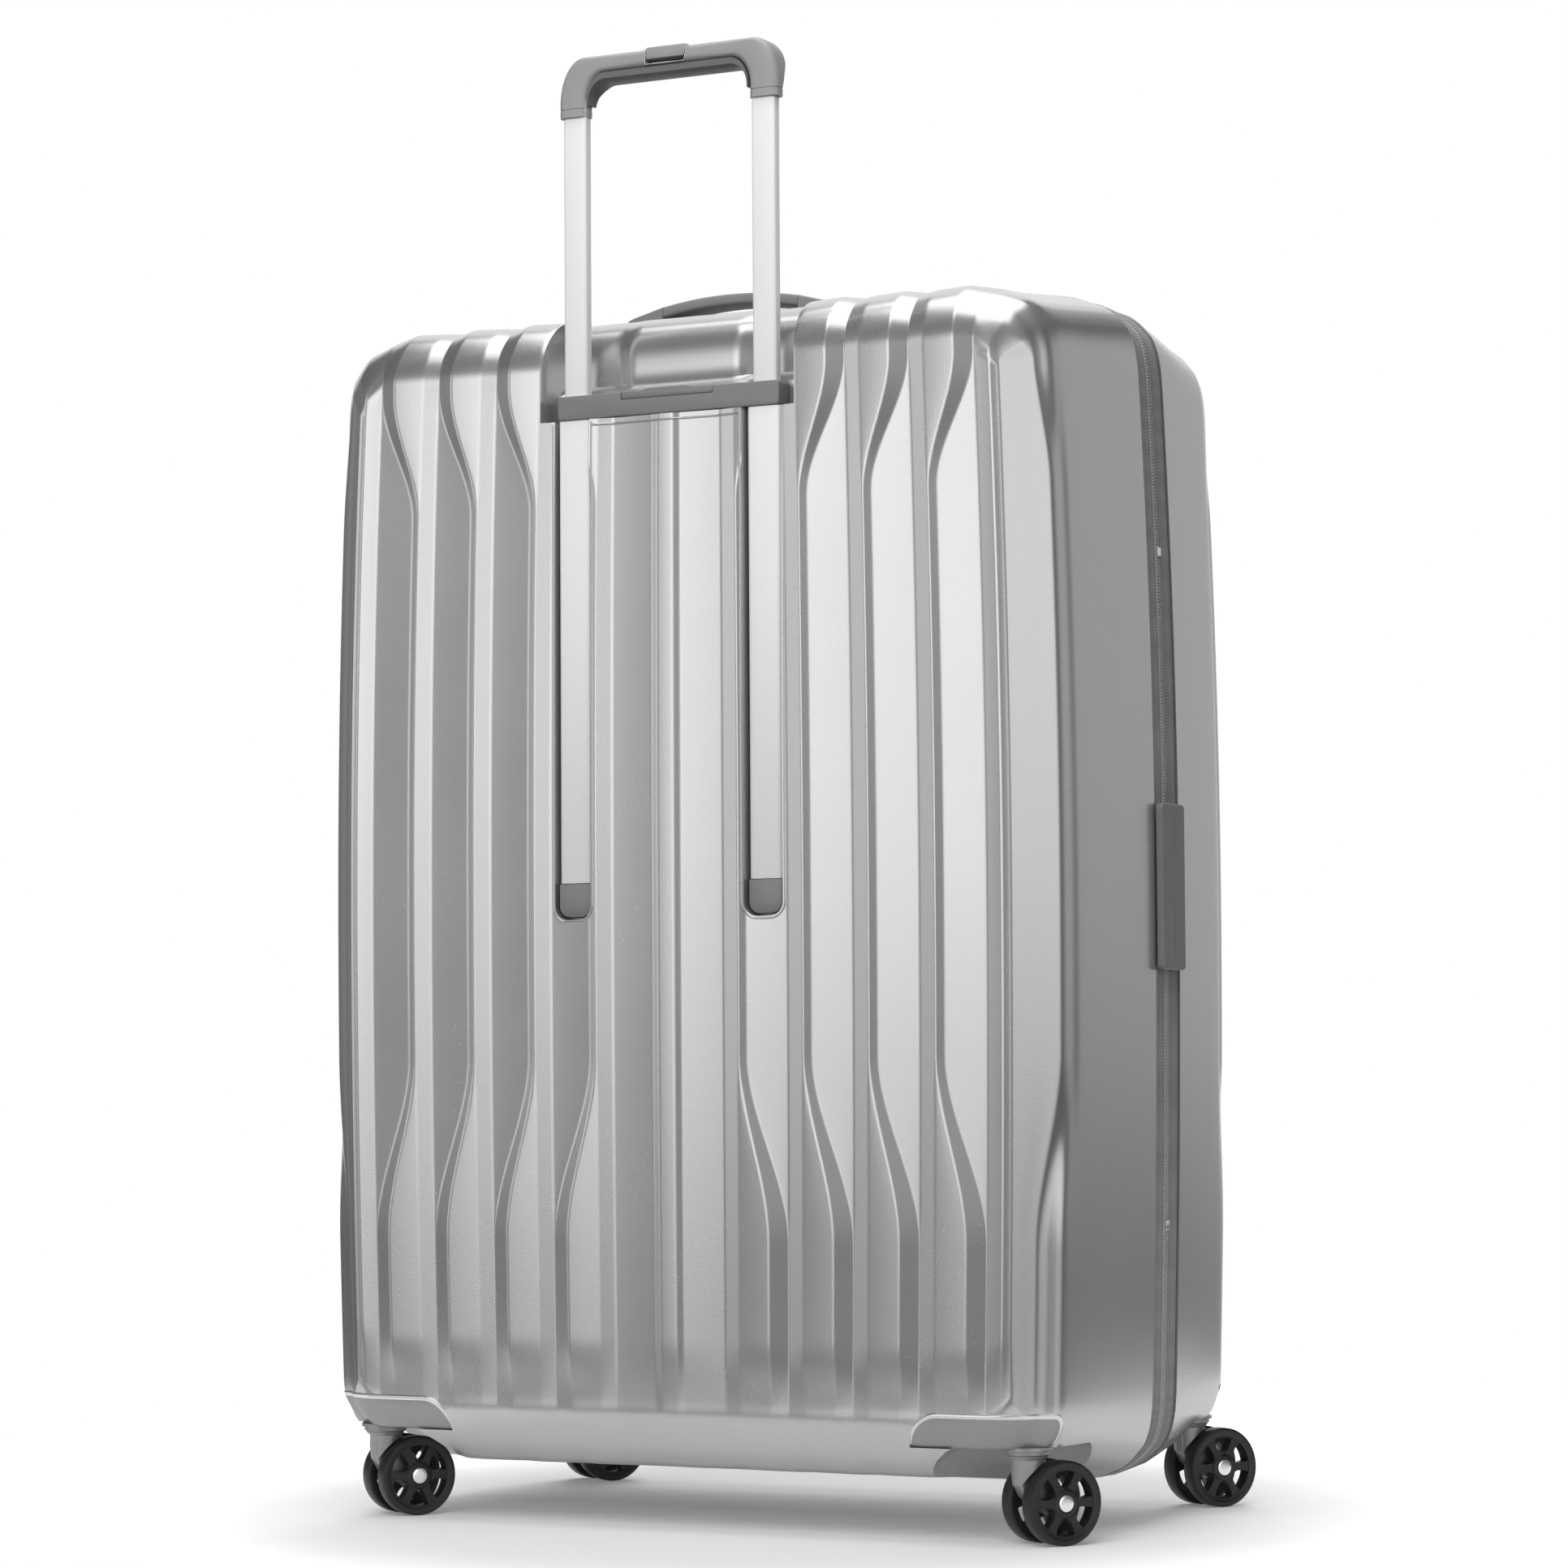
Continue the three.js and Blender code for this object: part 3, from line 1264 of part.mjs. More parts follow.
for (const [side, name] of [[-1, 'left'], [1, 'right']]) {
  add(`sleeve_${name}`, sleeve(side), 'satin');
  add(`sleeve_cap_${name}`, sleeveCap(side), 'greyPlastic');
  add(`post_${name}`, post(side), 'satin');
  add(`packing_strap_${name}`, packingStrap(side), 'webbing');
  add(`top_handle_foot_${name}`, handleFoot(side), 'strap');
  add(`back_guard_${name}`, guardBody(side, backForm), 'guard');
  add(`front_guard_${name}`, frontSolid(guardBody(side, onLid)), 'guard');
}

for (let i = 0; i < dialCount; i += 1) {
  const mesh = add(`dial_${i + 1}`, dial(), 'black');
  mesh.position.set(dialX, dialY, dialZ(i));
}

for (const [name, z0] of [
  ['upper', sideHandleZ + gap],
  ['lower', sideHandleZ - gap - sliderLength],
]) {
  add(`zip_slider_${name}`, zipSlider(z0), 'steel');
  add(`pull_tab_${name}`, pullTab(z0), 'steel');
}

for (const [sideY, face] of [[-1, 'back'], [1, 'front']]) {
  for (const [sideX, hand] of [[-1, 'left'], [1, 'right']]) {
    const caster = new THREE.Group();
    caster.name = `caster_${face}_${hand}`;
    caster.position.set(sideX * casterX, sideY * casterY, 0);
    caster.rotation.z = degrees(casterTurn);
    add(`caster_plate_${face}_${hand}`, casterPlate(), 'darkPlastic', caster);
    add(`fork_${face}_${hand}`, fork(), 'guard', caster);
    add(`axle_${face}_${hand}`, axle(), 'steel', caster).position.set(0, casterTrail, axleZ);
    for (const [offset, place] of [[wheelOffset, 'outer'], [-wheelOffset, 'inner']]) {
      const mesh = add(`wheel_${face}_${hand}_${place}`, wheel(), 'black', caster);
      mesh.position.set(offset, casterTrail, axleZ);
    }
    suitcase.add(caster);
  }
}

export default suitcase;
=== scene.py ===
import math

import bpy
import numpy as np
from mathutils import Matrix, Vector
from mathutils.bvhtree import BVHTree


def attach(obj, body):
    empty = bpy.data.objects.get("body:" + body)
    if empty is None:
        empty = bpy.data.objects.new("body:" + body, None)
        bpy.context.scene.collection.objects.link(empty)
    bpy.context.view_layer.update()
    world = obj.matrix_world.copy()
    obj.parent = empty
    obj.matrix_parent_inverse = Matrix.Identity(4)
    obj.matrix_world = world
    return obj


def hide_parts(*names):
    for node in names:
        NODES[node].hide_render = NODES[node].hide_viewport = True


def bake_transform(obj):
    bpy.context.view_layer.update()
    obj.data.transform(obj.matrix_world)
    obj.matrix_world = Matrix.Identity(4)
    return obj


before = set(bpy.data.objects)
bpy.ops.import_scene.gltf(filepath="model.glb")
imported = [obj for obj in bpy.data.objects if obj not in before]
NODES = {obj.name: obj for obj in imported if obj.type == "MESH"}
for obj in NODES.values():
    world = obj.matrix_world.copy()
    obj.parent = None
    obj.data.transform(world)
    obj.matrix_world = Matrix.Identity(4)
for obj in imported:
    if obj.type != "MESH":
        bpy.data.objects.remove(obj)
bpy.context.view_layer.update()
MM = 0.001

# ------------------------------------------------------------------ sizes, in millimetres

CASE_HALF, CASE_TOP, CASE_BOTTOM = 272.0, 788.0, 28.0
FACE_DEPTH, WALL = 163.5, 2.4
BARREL_TOP, BARREL_BOTTOM, LID_DRAW, BOW_ACROSS, BOW_ALONG = 11.0, 7.7, 8.5, 2.2, 2.5
SIDE_RUN, END_RUN, END_RADIUS = 35.0, 52.5, 42.0
BEVEL_RUN, BEVEL_DROP = 23.0, 20.0
CORNER_DROP, CORNER_RUN, CORNER_LEAN, RIM_SQUARE = 13.0, 24.0, 42.0, 0.62
RIB_HALF, NARROW, RISER = 5.5, 11.0, 5.0
CREST, FOOT, LEAF_RISE, LEAF_SWAY, CREASE_ROUND = 2.3, 0.9, 1.5, 21.0, 1.5
SWAY_TOP, SWAY_BOTTOM_START, SWAY_BOTTOM_END = 85.0, 220.0, 103.0
ZIP_PLANE, TAPE_SHOWN = 4.0, 20.0
POST_X = 68.5
CHANNEL_IN, CHANNEL_OUT = 55.1, 81.9
CHANNEL_BOTTOM, CHANNEL_FLOOR, CHANNEL_ROUND = 387.2, -146.7, 9.0
BRACKET_BOTTOM, BRACKET_TOP = 708.9, 724.5
CASTER_X, CASTER_Y, TRAIL, TURN = 231.0, 130.5, 17.0, -33.0
GUARD_BOTTOM, GUARD_HIGH, GUARD_ROUND = 59.6, 21.5, 20.0
GUARD_SEAT, GUARD_PROUD, GUARD_LEAN, GUARD_END = 5.0, 1.0, 0.2, 10.0
SIDE_Z = 405.7
LOCK_BACK, LOCK_EDGE, LOCK_FLOOR, LOCK_HALF = -48.8, -17.8, -260.8, 37.0
SEAT_Z, STRAP_Y, TOP_HALF = 781.2, -61.0, 13.5
HANDS, SIDES = ((-1, "left"), (1, "right")), (-1, 1)

FACE_EDGE = CASE_HALF - SIDE_RUN
FACE_TOP, FACE_BOTTOM = CASE_TOP - END_RUN, CASE_BOTTOM + END_RUN
MID_Z, HALF_HIGH = (CASE_TOP + CASE_BOTTOM) / 2, (CASE_TOP - CASE_BOTTOM) / 2
BACK_RIM, FRONT_RIM = ZIP_PLANE - TAPE_SHOWN, ZIP_PLANE + TAPE_SHOWN

# ------------------------------------------------------------------ camera

AZIMUTH, PITCH, ROLL = math.radians(27.104), math.radians(3.189), math.radians(-0.353)
CAMERA_PLACE = (1.3698, -2.6772, 0.3020)
SENSOR, LENS, SHIFT_UP, FAR_CLIP = 36, 103.92, 0.01014, 50


def set_camera():
    level = math.cos(PITCH)
    ahead = Vector((-math.sin(AZIMUTH) * level, math.cos(AZIMUTH) * level, math.sin(PITCH)))
    right = Vector((math.cos(AZIMUTH), math.sin(AZIMUTH), 0))
    up = right.cross(ahead)
    across = right * math.cos(ROLL) + up * math.sin(ROLL)
    over = up * math.cos(ROLL) - right * math.sin(ROLL)
    data = bpy.data.cameras.new("camera")
    data.sensor_width, data.lens, data.shift_y, data.clip_end = SENSOR, LENS, SHIFT_UP, FAR_CLIP
    camera = bpy.data.objects.new("camera", data)
    bpy.context.scene.collection.objects.link(camera)
    turn = Matrix((across, over, -ahead)).transposed().to_4x4()
    camera.matrix_world = Matrix.Translation(CAMERA_PLACE) @ turn
    bpy.context.scene.camera = camera


set_camera()

# ------------------------------------------------------------------ shader maths


class Wire:
    """A shader socket that can be used in sums."""

    def __init__(self, tree, socket):
        self.tree, self.socket = tree, socket

    def _math(self, operation, *values, swap=False):
        node = self.tree.nodes.new("ShaderNodeMath")
        node.operation = operation
        parts = (self, *values)
        for socket, value in zip(node.inputs, reversed(parts) if swap else parts):
            if isinstance(value, Wire):
                self.tree.links.new(value.socket, socket)
            else:
                socket.default_value = value
        return Wire(self.tree, node.outputs[0])

    def __add__(self, other): return self._math("ADD", other)
    def __radd__(self, other): return self._math("ADD", other)
    def __sub__(self, other): return self._math("SUBTRACT", other)
    def __rsub__(self, other): return self._math("SUBTRACT", other, swap=True)
    def __mul__(self, other): return self._math("MULTIPLY", other)
    def __rmul__(self, other): return self._math("MULTIPLY", other)
    def __pow__(self, other): return self._math("POWER", other)
    def sine(self): return self._math("SINE")
    def size(self): return self._math("ABSOLUTE")
    def most(self, other): return self._math("MAXIMUM", other)


class Maker:
    """A node tree, with one method for any node it needs."""

    def __init__(self, tree):
        self.tree = tree

    def node(self, kind, settings=None, out=0, **values):
        node = self.tree.nodes.new(kind)
        for key, value in (settings or {}).items():
            setattr(node, key, value)
        for socket, value in values.items():
            place = node.inputs[socket.replace("_", " ")] if isinstance(socket, str) else node.inputs[socket]
            if isinstance(value, Wire):
                self.tree.links.new(value.socket, place)
            else:
                place.default_value = value
        return Wire(self.tree, node.outputs[out])

    def axes(self, where):
        split = self.tree.nodes.new("ShaderNodeSeparateXYZ")
        self.tree.links.new(where.socket, split.inputs[0])
        return [Wire(self.tree, output) for output in split.outputs]


class Finish(Maker):
    """A material about one principled shader."""

    def __init__(self, name, **fixed):
        self.material = bpy.data.materials.new(name)
        self.material.use_nodes = True
        super().__init__(self.material.node_tree)
        self.shader = self.tree.nodes["Principled BSDF"]
        for socket, value in fixed.items():
            self.shader.inputs[socket.replace("_", " ")].default_value = value
        self.place = self.node("ShaderNodeTexCoord", out="Object")

    def noise(self, scale, detail=2.0, where=None):
        return self.node("ShaderNodeTexNoise", out="Fac", Vector=where or self.place, Scale=scale, Detail=detail)

    def cells(self, scale):
        return self.node("ShaderNodeTexVoronoi", out="Distance", Vector=self.place, Scale=scale)

    def between(self, mask, first, second):
        """first where the mask is 0, second where it is 1."""
        node = self.tree.nodes.new("ShaderNodeMix")
        node.data_type = "RGBA"
        self.tree.links.new(mask.socket, node.inputs["Factor"])
        for socket, value in ((node.inputs[6], first), (node.inputs[7], second)):
            if isinstance(value, Wire):
                self.tree.links.new(value.socket, socket)
            else:
                socket.default_value = (*value, 1)
        return Wire(self.tree, node.outputs[2])

    def feed(self, socket, wire):
        self.tree.links.new(wire.socket, self.shader.inputs[socket])

    def bump(self, height, distance, strength=1.0):
        node = self.tree.nodes.new("ShaderNodeBump")
        node.inputs["Strength"].default_value = strength
        node.inputs["Distance"].default_value = distance
        self.tree.links.new(height.socket, node.inputs["Height"])
        self.tree.links.new(node.outputs[0], self.shader.inputs["Normal"])


def grey(value, tint=0.0):
    return (value * (1 - tint), value, value * (1 + tint))


def sheet_silver():
    """Metallic silver polycarbonate: fine pebble grain, faint clouding."""
    f = Finish("sheet_silver", Metallic=0.78, Roughness=0.36, Coat_Weight=0.12, Coat_Roughness=0.3)
    clouds = f.noise(9, 3)
    fine = f.noise(900, 2)
    f.feed("Base Color", f.between(clouds * 0.5 + fine * 0.5, grey(0.54, 0.006), grey(0.62, 0.006)))
    f.feed("Roughness", 0.2 + clouds * 0.05 + fine * 0.06)
    pebble = f.cells(720)
    f.bump(pebble * 0.6 + f.noise(1500, 1) * 0.4, 0.00005, 0.4)
    return f.material


def moulded(name, value, rough=0.45, grain=900, depth=0.00006, metal=0.0, spread=0.06):
    """Moulded plastic with an eroded texture."""
    f = Finish(name, Metallic=metal, Specular_IOR_Level=0.5)
    clouds = f.noise(40, 3)
    fine = f.noise(grain, 2)
    f.feed("Base Color", f.between(clouds, grey(value * (1 - spread)), grey(value * (1 + spread))))
    f.feed("Roughness", rough - 0.06 + 0.12 * fine)
    f.bump(f.cells(grain) * 0.5 + fine * 0.5, depth, 0.6)
    return f.material


def drawn_metal(name, value, rough=0.28, along=2, metal=0.92):
    """Anodised or plated metal with fine lines along one axis."""
    f = Finish(name, Metallic=metal)
    stretch = [1.0, 1.0, 1.0]
    stretch[along] = 0.02
    where = f.node("ShaderNodeMapping", out="Vector", Vector=f.place, Scale=tuple(stretch))
    lines = f.noise(2400, 2, where=where)
    clouds = f.noise(14, 2)
    f.feed("Base Color", f.between(lines, grey(value * 0.95), grey(min(1, value * 1.03))))
    f.feed("Roughness", rough - 0.05 + 0.1 * lines + 0.04 * clouds)
    f.bump(lines, 0.00001, 0.5)
    return f.material


def woven(name, value, pitch=0.0007, rough=0.85, contrast=0.25):
    """Plain woven tape or cloth on all three axes."""
    f = Finish(name, Sheen_Weight=0.2)
    x, y, z = f.axes(f.place)
    turns = 2 * math.pi / pitch
    weave = (x * turns).sine() * 0.5 + (y * turns).sine() * 0.5 + (z * turns).sine() * 0.5
    fuzz = f.noise(1800, 2)
    mask = weave * 0.3 + 0.5 + (fuzz - 0.5) * 0.6
    f.feed("Base Color", f.between(mask, grey(value * (1 - contrast)), grey(value * (1 + contrast))))
    f.feed("Roughness", rough - 0.1 + 0.2 * fuzz)
    f.bump(mask, 0.00012, 0.8)
    return f.material


SILVER = sheet_silver()
GUARD = moulded("guard_grey", 0.33, 0.34, metal=0.45)
GREY = moulded("bridge_grey", 0.235, 0.42, metal=0.1)
GRIP = moulded("grip_grey", 0.36, 0.4, metal=0.05)
# Liner grey: partly the liner's own darker plastic, partly painted shade of the bar's underside.
LINER_AND_SHADE = moulded("liner_grey_and_painted_shade", 0.16, 0.55)
BLACK = moulded("wheel_black", 0.012, 0.42, spread=0.2)
PLATE = moulded("caster_plate_grey", 0.2, 0.5)
BRIGHT = drawn_metal("bright_metal", 0.9, 0.16)
TRIM = drawn_metal("guard_trim", 0.82, 0.3)
SATIN = drawn_metal("satin_aluminium", 0.94, 0.45, metal=0.15)
STEEL = drawn_metal("satin_steel", 0.62, 0.32, 0)
TAPE = woven("zip_tape", 0.24)
HANDLE = moulded("handle_grey", 0.23, 0.52, 1400)
THREAD = woven("stitch_thread", 0.3, 0.0005)
TEETH_GREY = moulded("teeth_grey", 0.42, 0.4)
WEBBING = woven("webbing", 0.06, 0.0014)
LINING = woven("lining_cloth", 0.16, 0.0012, 0.9, 0.15)
HEM = woven("hem_binding", 0.1, 0.0009)

LOOKS = [
    (("back_shell", "front_shell"), SILVER),
    (("back_lining", "front_lining", "divider_panel"), LINING),
    (("back_zip_half", "front_zip_half"), TAPE),
    (("zip_stop",), BRIGHT),
    (("sleeve_cap", "bridge_bracket", "id_tag", "lock_housing"), GREY),
    (("sleeve_", "post_"), SATIN),
    (("grip_liner",), LINER_AND_SHADE),
    (("grip_shell", "grip_button"), GRIP),
    (("top_handle", "side_handle"), HANDLE),
    (("back_guard", "front_guard", "fork_"), GUARD),
    (("caster_plate",), PLATE),
    (("packing_strap",), WEBBING),
    (("wheel_", "dial_", "strap_buckle"), BLACK),
    (("axle_", "zip_slider", "pull_tab", "lock_button"), STEEL),
]


def look_of(node):
    for starts, material in LOOKS:
        if node.startswith(starts):
            return material
    raise ValueError(node)


for node_name, node in NODES.items():
    node.data.materials.clear()
    node.data.materials.append(look_of(node_name))

# ------------------------------------------------------------------ modelling helpers


def alone(*objects):
    """Selects only these, the last one active."""
    bpy.ops.object.select_all(action="DESELECT")
    for thing in objects:
        thing.select_set(True)
    bpy.context.view_layer.objects.active = objects[-1]


def in_edit(thing, *steps):
    alone(thing)
    bpy.ops.object.mode_set(mode="EDIT")
    bpy.ops.mesh.select_all(action="SELECT")
    for step in steps:
        step()
    bpy.ops.object.mode_set(mode="OBJECT")
    return thing


def merge():
    bpy.ops.mesh.select_all(action="SELECT")
    bpy.ops.mesh.remove_doubles(threshold=2e-6)


def fill_ends():
    bpy.ops.mesh.select_all(action="DESELECT")
    bpy.ops.mesh.select_non_manifold(extend=False, use_wire=False, use_multi_face=False,
                                     use_non_contiguous=False, use_verts=False)
    bpy.ops.mesh.edge_face_add()


def outwards():
    bpy.ops.mesh.select_all(action="SELECT")
    bpy.ops.mesh.normals_make_consistent(inside=False)


def formed(name, places):
    """A grid shaped over an array of places, rows by columns by three, in millimetres."""
    rows, columns = places.shape[:2]
    bpy.ops.object.select_all(action="DESELECT")
    bpy.ops.mesh.primitive_grid_add(x_subdivisions=rows - 1, y_subdivisions=columns - 1, size=1)
    thing = bpy.context.object
    thing.name = thing.data.name = name
    flat = np.empty(len(thing.data.vertices) * 3)
    thing.data.vertices.foreach_get("co", flat)
    flat = flat.reshape(-1, 3)
    i = np.rint((flat[:, 0] + 0.5) * (rows - 1)).astype(int)
    j = np.rint((flat[:, 1] + 0.5) * (columns - 1)).astype(int)
    thing.data.vertices.foreach_set("co", (places[i, j] * MM).astype(np.float32).ravel())
    thing.data.update()
    return thing


def lofted(name, sections, wrap=False):
    """A closed body over sections of equal length: ends capped, or joined in a ring."""
    places = np.array(sections, float)
    places = np.concatenate([places, places[:, :1]], axis=1)
    if wrap:
        places = np.concatenate([places, places[:1]], axis=0)
    thing = formed(name, places)
    steps = [merge] if wrap else [merge, fill_ends]
    return in_edit(thing, *steps, outwards)


def joined(name, *pieces):
    alone(*pieces)
    bpy.ops.object.join()
    thing = bpy.context.object
    thing.name = thing.data.name = name
    return thing


def apply(thing, kind, **settings):
    alone(thing)
    modifier = thing.modifiers.new(kind.lower(), kind)
    for key, value in settings.items():
        setattr(modifier, key, value)
    bpy.ops.object.modifier_apply(modifier=modifier.name)
    return thing


def combine(thing, *tools, operation="DIFFERENCE"):
    for tool in tools:
        apply(thing, "BOOLEAN", operation=operation, solver="MANIFOLD", object=tool)
        bpy.data.objects.remove(tool)
    return thing


def smooth(thing, angle=32):
    alone(thing)
    bpy.ops.object.shade_smooth_by_angle(angle=math.radians(angle))
    return thing


def dress(thing, body, material, replaces=()):
    thing.data.materials.clear()
    thing.data.materials.append(material)
    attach(thing, body)
    if replaces:
        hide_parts(*([replaces] if isinstance(replaces, str) else replaces))
    return thing


def tree_of(thing):
    """A piece's faces, ready for rays."""
    return BVHTree.FromPolygons([v.co.copy() for v in thing.data.vertices],
                                [tuple(p.vertices) for p in thing.data.polygons])


def both_ends(half, middle=()):
    """A closed section that is the same both ways, from (radius, height) pairs of one end."""
    return [*((r, -h) for r, h in half), *middle, *half[::-1]]


def mix(a, b, t):
    return a + (b - a) * t


def ease(t):
    t = np.clip(t, 0, 1)
    return t * t * (3 - 2 * t)


# ------------------------------------------------------------------ form of the case


def sway(z):
    up = ease((z - (FACE_TOP - SWAY_TOP)) / SWAY_TOP)
    down = ease((FACE_BOTTOM + SWAY_BOTTOM_START - z) / (SWAY_BOTTOM_START - SWAY_BOTTOM_END))
    return np.maximum(up, down)


def corner_fall(x):
    return CORNER_DROP * np.clip((np.abs(x) - FACE_EDGE) / CORNER_RUN + 1, 0, 1) ** 2


def bow(x, z):
    return BOW_ACROSS * (x / FACE_EDGE) ** 2 + BOW_ALONG * ((z - MID_Z) / HALF_HIGH) ** 2


def barrel(x, y, z):
    draw = np.where(z > MID_Z, BARREL_TOP, BARREL_BOTTOM) / CASE_HALF
    return np.stack(np.broadcast_arrays(x * (1 - draw * ((z - MID_Z) / HALF_HIGH) ** 2), y, z), axis=-1)


def lid_form(rim):
    """The lid's sides draw in further, growing from its rim towards its face."""
    def form(places):
        share = np.clip((rim - places[..., 1]) / (FACE_DEPTH - FRONT_RIM), 0, 1)
        return places * np.stack([1 - LID_DRAW / CASE_HALF * share, 1 + 0 * share, 1 + 0 * share], axis=-1)
    return form


def back_form(places):
    return places


def squared(value, power):
    return np.sign(value) * np.abs(value) ** power


def flute_lines(s):
    """Places and heights of the fluting's lines across the face at a sway."""
    lines = [(RIB_HALF, CREST), (RIB_HALF + RISER, FOOT)]
    first, last = CHANNEL_OUT + 3.2, FACE_EDGE - RISER
    pitch = (last - first - NARROW) / 3
    valleys = [CHANNEL_IN - NARROW - 4.3] + [first + i * pitch for i in range(4)]
    for i, valley in enumerate(valleys):
        crest = valley + NARROW
        lines += [(valley, 0), (crest, CREST)]
        if i < len(valleys) - 1:
            start, following = crest + 1, valleys[i + 1]
            lines.append((start + min(LEAF_SWAY, following - start - RISER) * s, CREST + LEAF_RISE * s))
            lines.append((mix(start + RISER, following - 0.8, s), FOOT * (1 - s)))
    lines.append((FACE_EDGE, FOOT))
    return [(-x, h) for x, h in reversed(lines)] + lines


def columns_at(s, fillet):
    """The lines with a rounding at each crease: places and heights of all columns."""
    x, h = np.array(flute_lines(s)).T
    if not fillet:
        return x, h
    gaps = np.diff(x)
    w = np.minimum(fillet, 0.45 * np.minimum(np.r_[gaps[0], gaps], np.r_[gaps, gaps[-1]]))
    out = [(x[0], h[0])]
    for i in range(1, len(x) - 1):
        left = (x[i] - w[i], mix(h[i], h[i - 1], w[i] / gaps[i - 1]))
        right = (x[i] + w[i], mix(h[i], h[i + 1], w[i] / gaps[i]))
        for t in (0, 0.25, 0.5, 0.75, 1):
            out.append(tuple((1 - t) ** 2 * left[k] + 2 * t * (1 - t) * (x[i], h[i])[k] + t * t * right[k]
                             for k in (0, 1)))
    out.append((x[-1], h[-1]))
    return np.array(out).T


def run_out(z):
    return mix(0.25, 1, ease((z - FACE_BOTTOM) / 40))


def outline(side, t):
    """Places on the face's edge: top, right, bottom and left, with the corners between."""
    lean = math.radians(CORNER_LEAN)
    upper, lower = FACE_TOP - CORNER_DROP, FACE_BOTTOM + CORNER_DROP
    if side in (0, 4):
        x = mix(-FACE_EDGE, FACE_EDGE, t) if side == 0 else mix(FACE_EDGE, -FACE_EDGE, t)
        angle = math.pi / 2 - np.sign(x) * (math.pi / 2 - lean) * corner_fall(x) / CORNER_DROP
        if side == 0:
            return x, FACE_TOP - corner_fall(x), angle
        return x, FACE_BOTTOM + corner_fall(x), -angle
    ones = np.ones_like(t)
    x, z0, z1, a0, a1 = {
        1: (FACE_EDGE, upper, upper, lean, 0), 2: (FACE_EDGE, upper, lower, 0, 0),
        3: (FACE_EDGE, lower, lower, 0, -lean), 5: (-FACE_EDGE, lower, lower, lean - math.pi, -math.pi),
        6: (-FACE_EDGE, lower, upper, -math.pi, -math.pi),
        7: (-FACE_EDGE, upper, upper, -math.pi, -math.pi - lean),
    }[side]
    return x * ones, mix(z0, z1, t), mix(a0, a1, t)


def hermite(levels, t):
    """Run, drop and slope at t along a chain of (run, drop, slope) levels."""
    place = min(t, 0.999999) * (len(levels) - 1)
    i = int(place)
    u = place - i
    (r0, d0, a0), (r1, d1, a1) = levels[i], levels[i + 1]
    span = np.hypot(r1 - r0, d1 - d0)
    c0, s0, c1, s1 = [f(np.radians(a)) * span for a in (a0, a1) for f in (np.cos, np.sin)]
    b0, b1, b2, b3 = (1 + 2 * u) * (1 - u) ** 2, u * (1 - u) ** 2, u * u * (3 - 2 * u), u * u * (u - 1)
    return b0 * r0 + b1 * c0 + b2 * r1 + b3 * c1, b0 * d0 + b1 * s0 + b2 * d1 + b3 * s1, mix(a0, a1, u)


FADE_AT = np.arange(7) / 6
FADE_END = np.array([1, 1, 0.97, 0.9, 0.75, 0.15, 0])


def wall_ring(x, z, angle, height, t, inset, rim):
    """One ring of the wall at t, from the face's edge (0) to the rim (1)."""
    depth = FACE_DEPTH + rim
    low_end, top_end = (FACE_BOTTOM + SWAY_BOTTOM_START - z) / 120, (z - FACE_TOP + SWAY_TOP) / SWAY_TOP
    narrow = 1 - 0.5 * ease(low_end) - 0.25 * ease(top_end)
    b, d = BEVEL_RUN * narrow, BEVEL_DROP * narrow
    zero = 0 * z
    sides = [(zero, zero, 2), (2.5 + zero, 1.3 + zero, 38), (b * 0.93, d * 0.93, 40),
             (b + 1.6, d + 2.6, 66), (BEVEL_RUN + 3.4 + zero, d + 14, 80),
             (BEVEL_RUN + 5.5 + zero, END_RADIUS + zero, 85), (SIDE_RUN + zero, depth + zero, 87.4)]
    ends = [(END_RADIUS * math.sin(math.radians(a)), END_RADIUS * (1 - math.cos(math.radians(a))), a)
            for a in (0, 10, 30, 50, 70, 88)] + [(END_RUN, depth, 84.5)]
    rs, ds, ss = hermite(sides, t)
    re, de, se = hermite(ends, t)
    share = np.sin(angle) ** 2
    slope = np.radians(mix(ss, se, share))
    fade = mix(max(0, 1 - 6 * t), np.interp(t, FADE_AT, FADE_END), share)
    lift = height * fade - inset
    out, back = lift * np.sin(slope), -lift * np.cos(slope)
    camber = bow(x, z) * (1 - t)
    y = -FACE_DEPTH + mix(ds, de, share) + back + camber if t < 1 else rim + zero
    square = mix(1, RIM_SQUARE, t)
    return barrel(x + (rs + out) * squared(np.cos(angle), square), y,
                  z + (re + out) * squared(np.sin(angle), square))


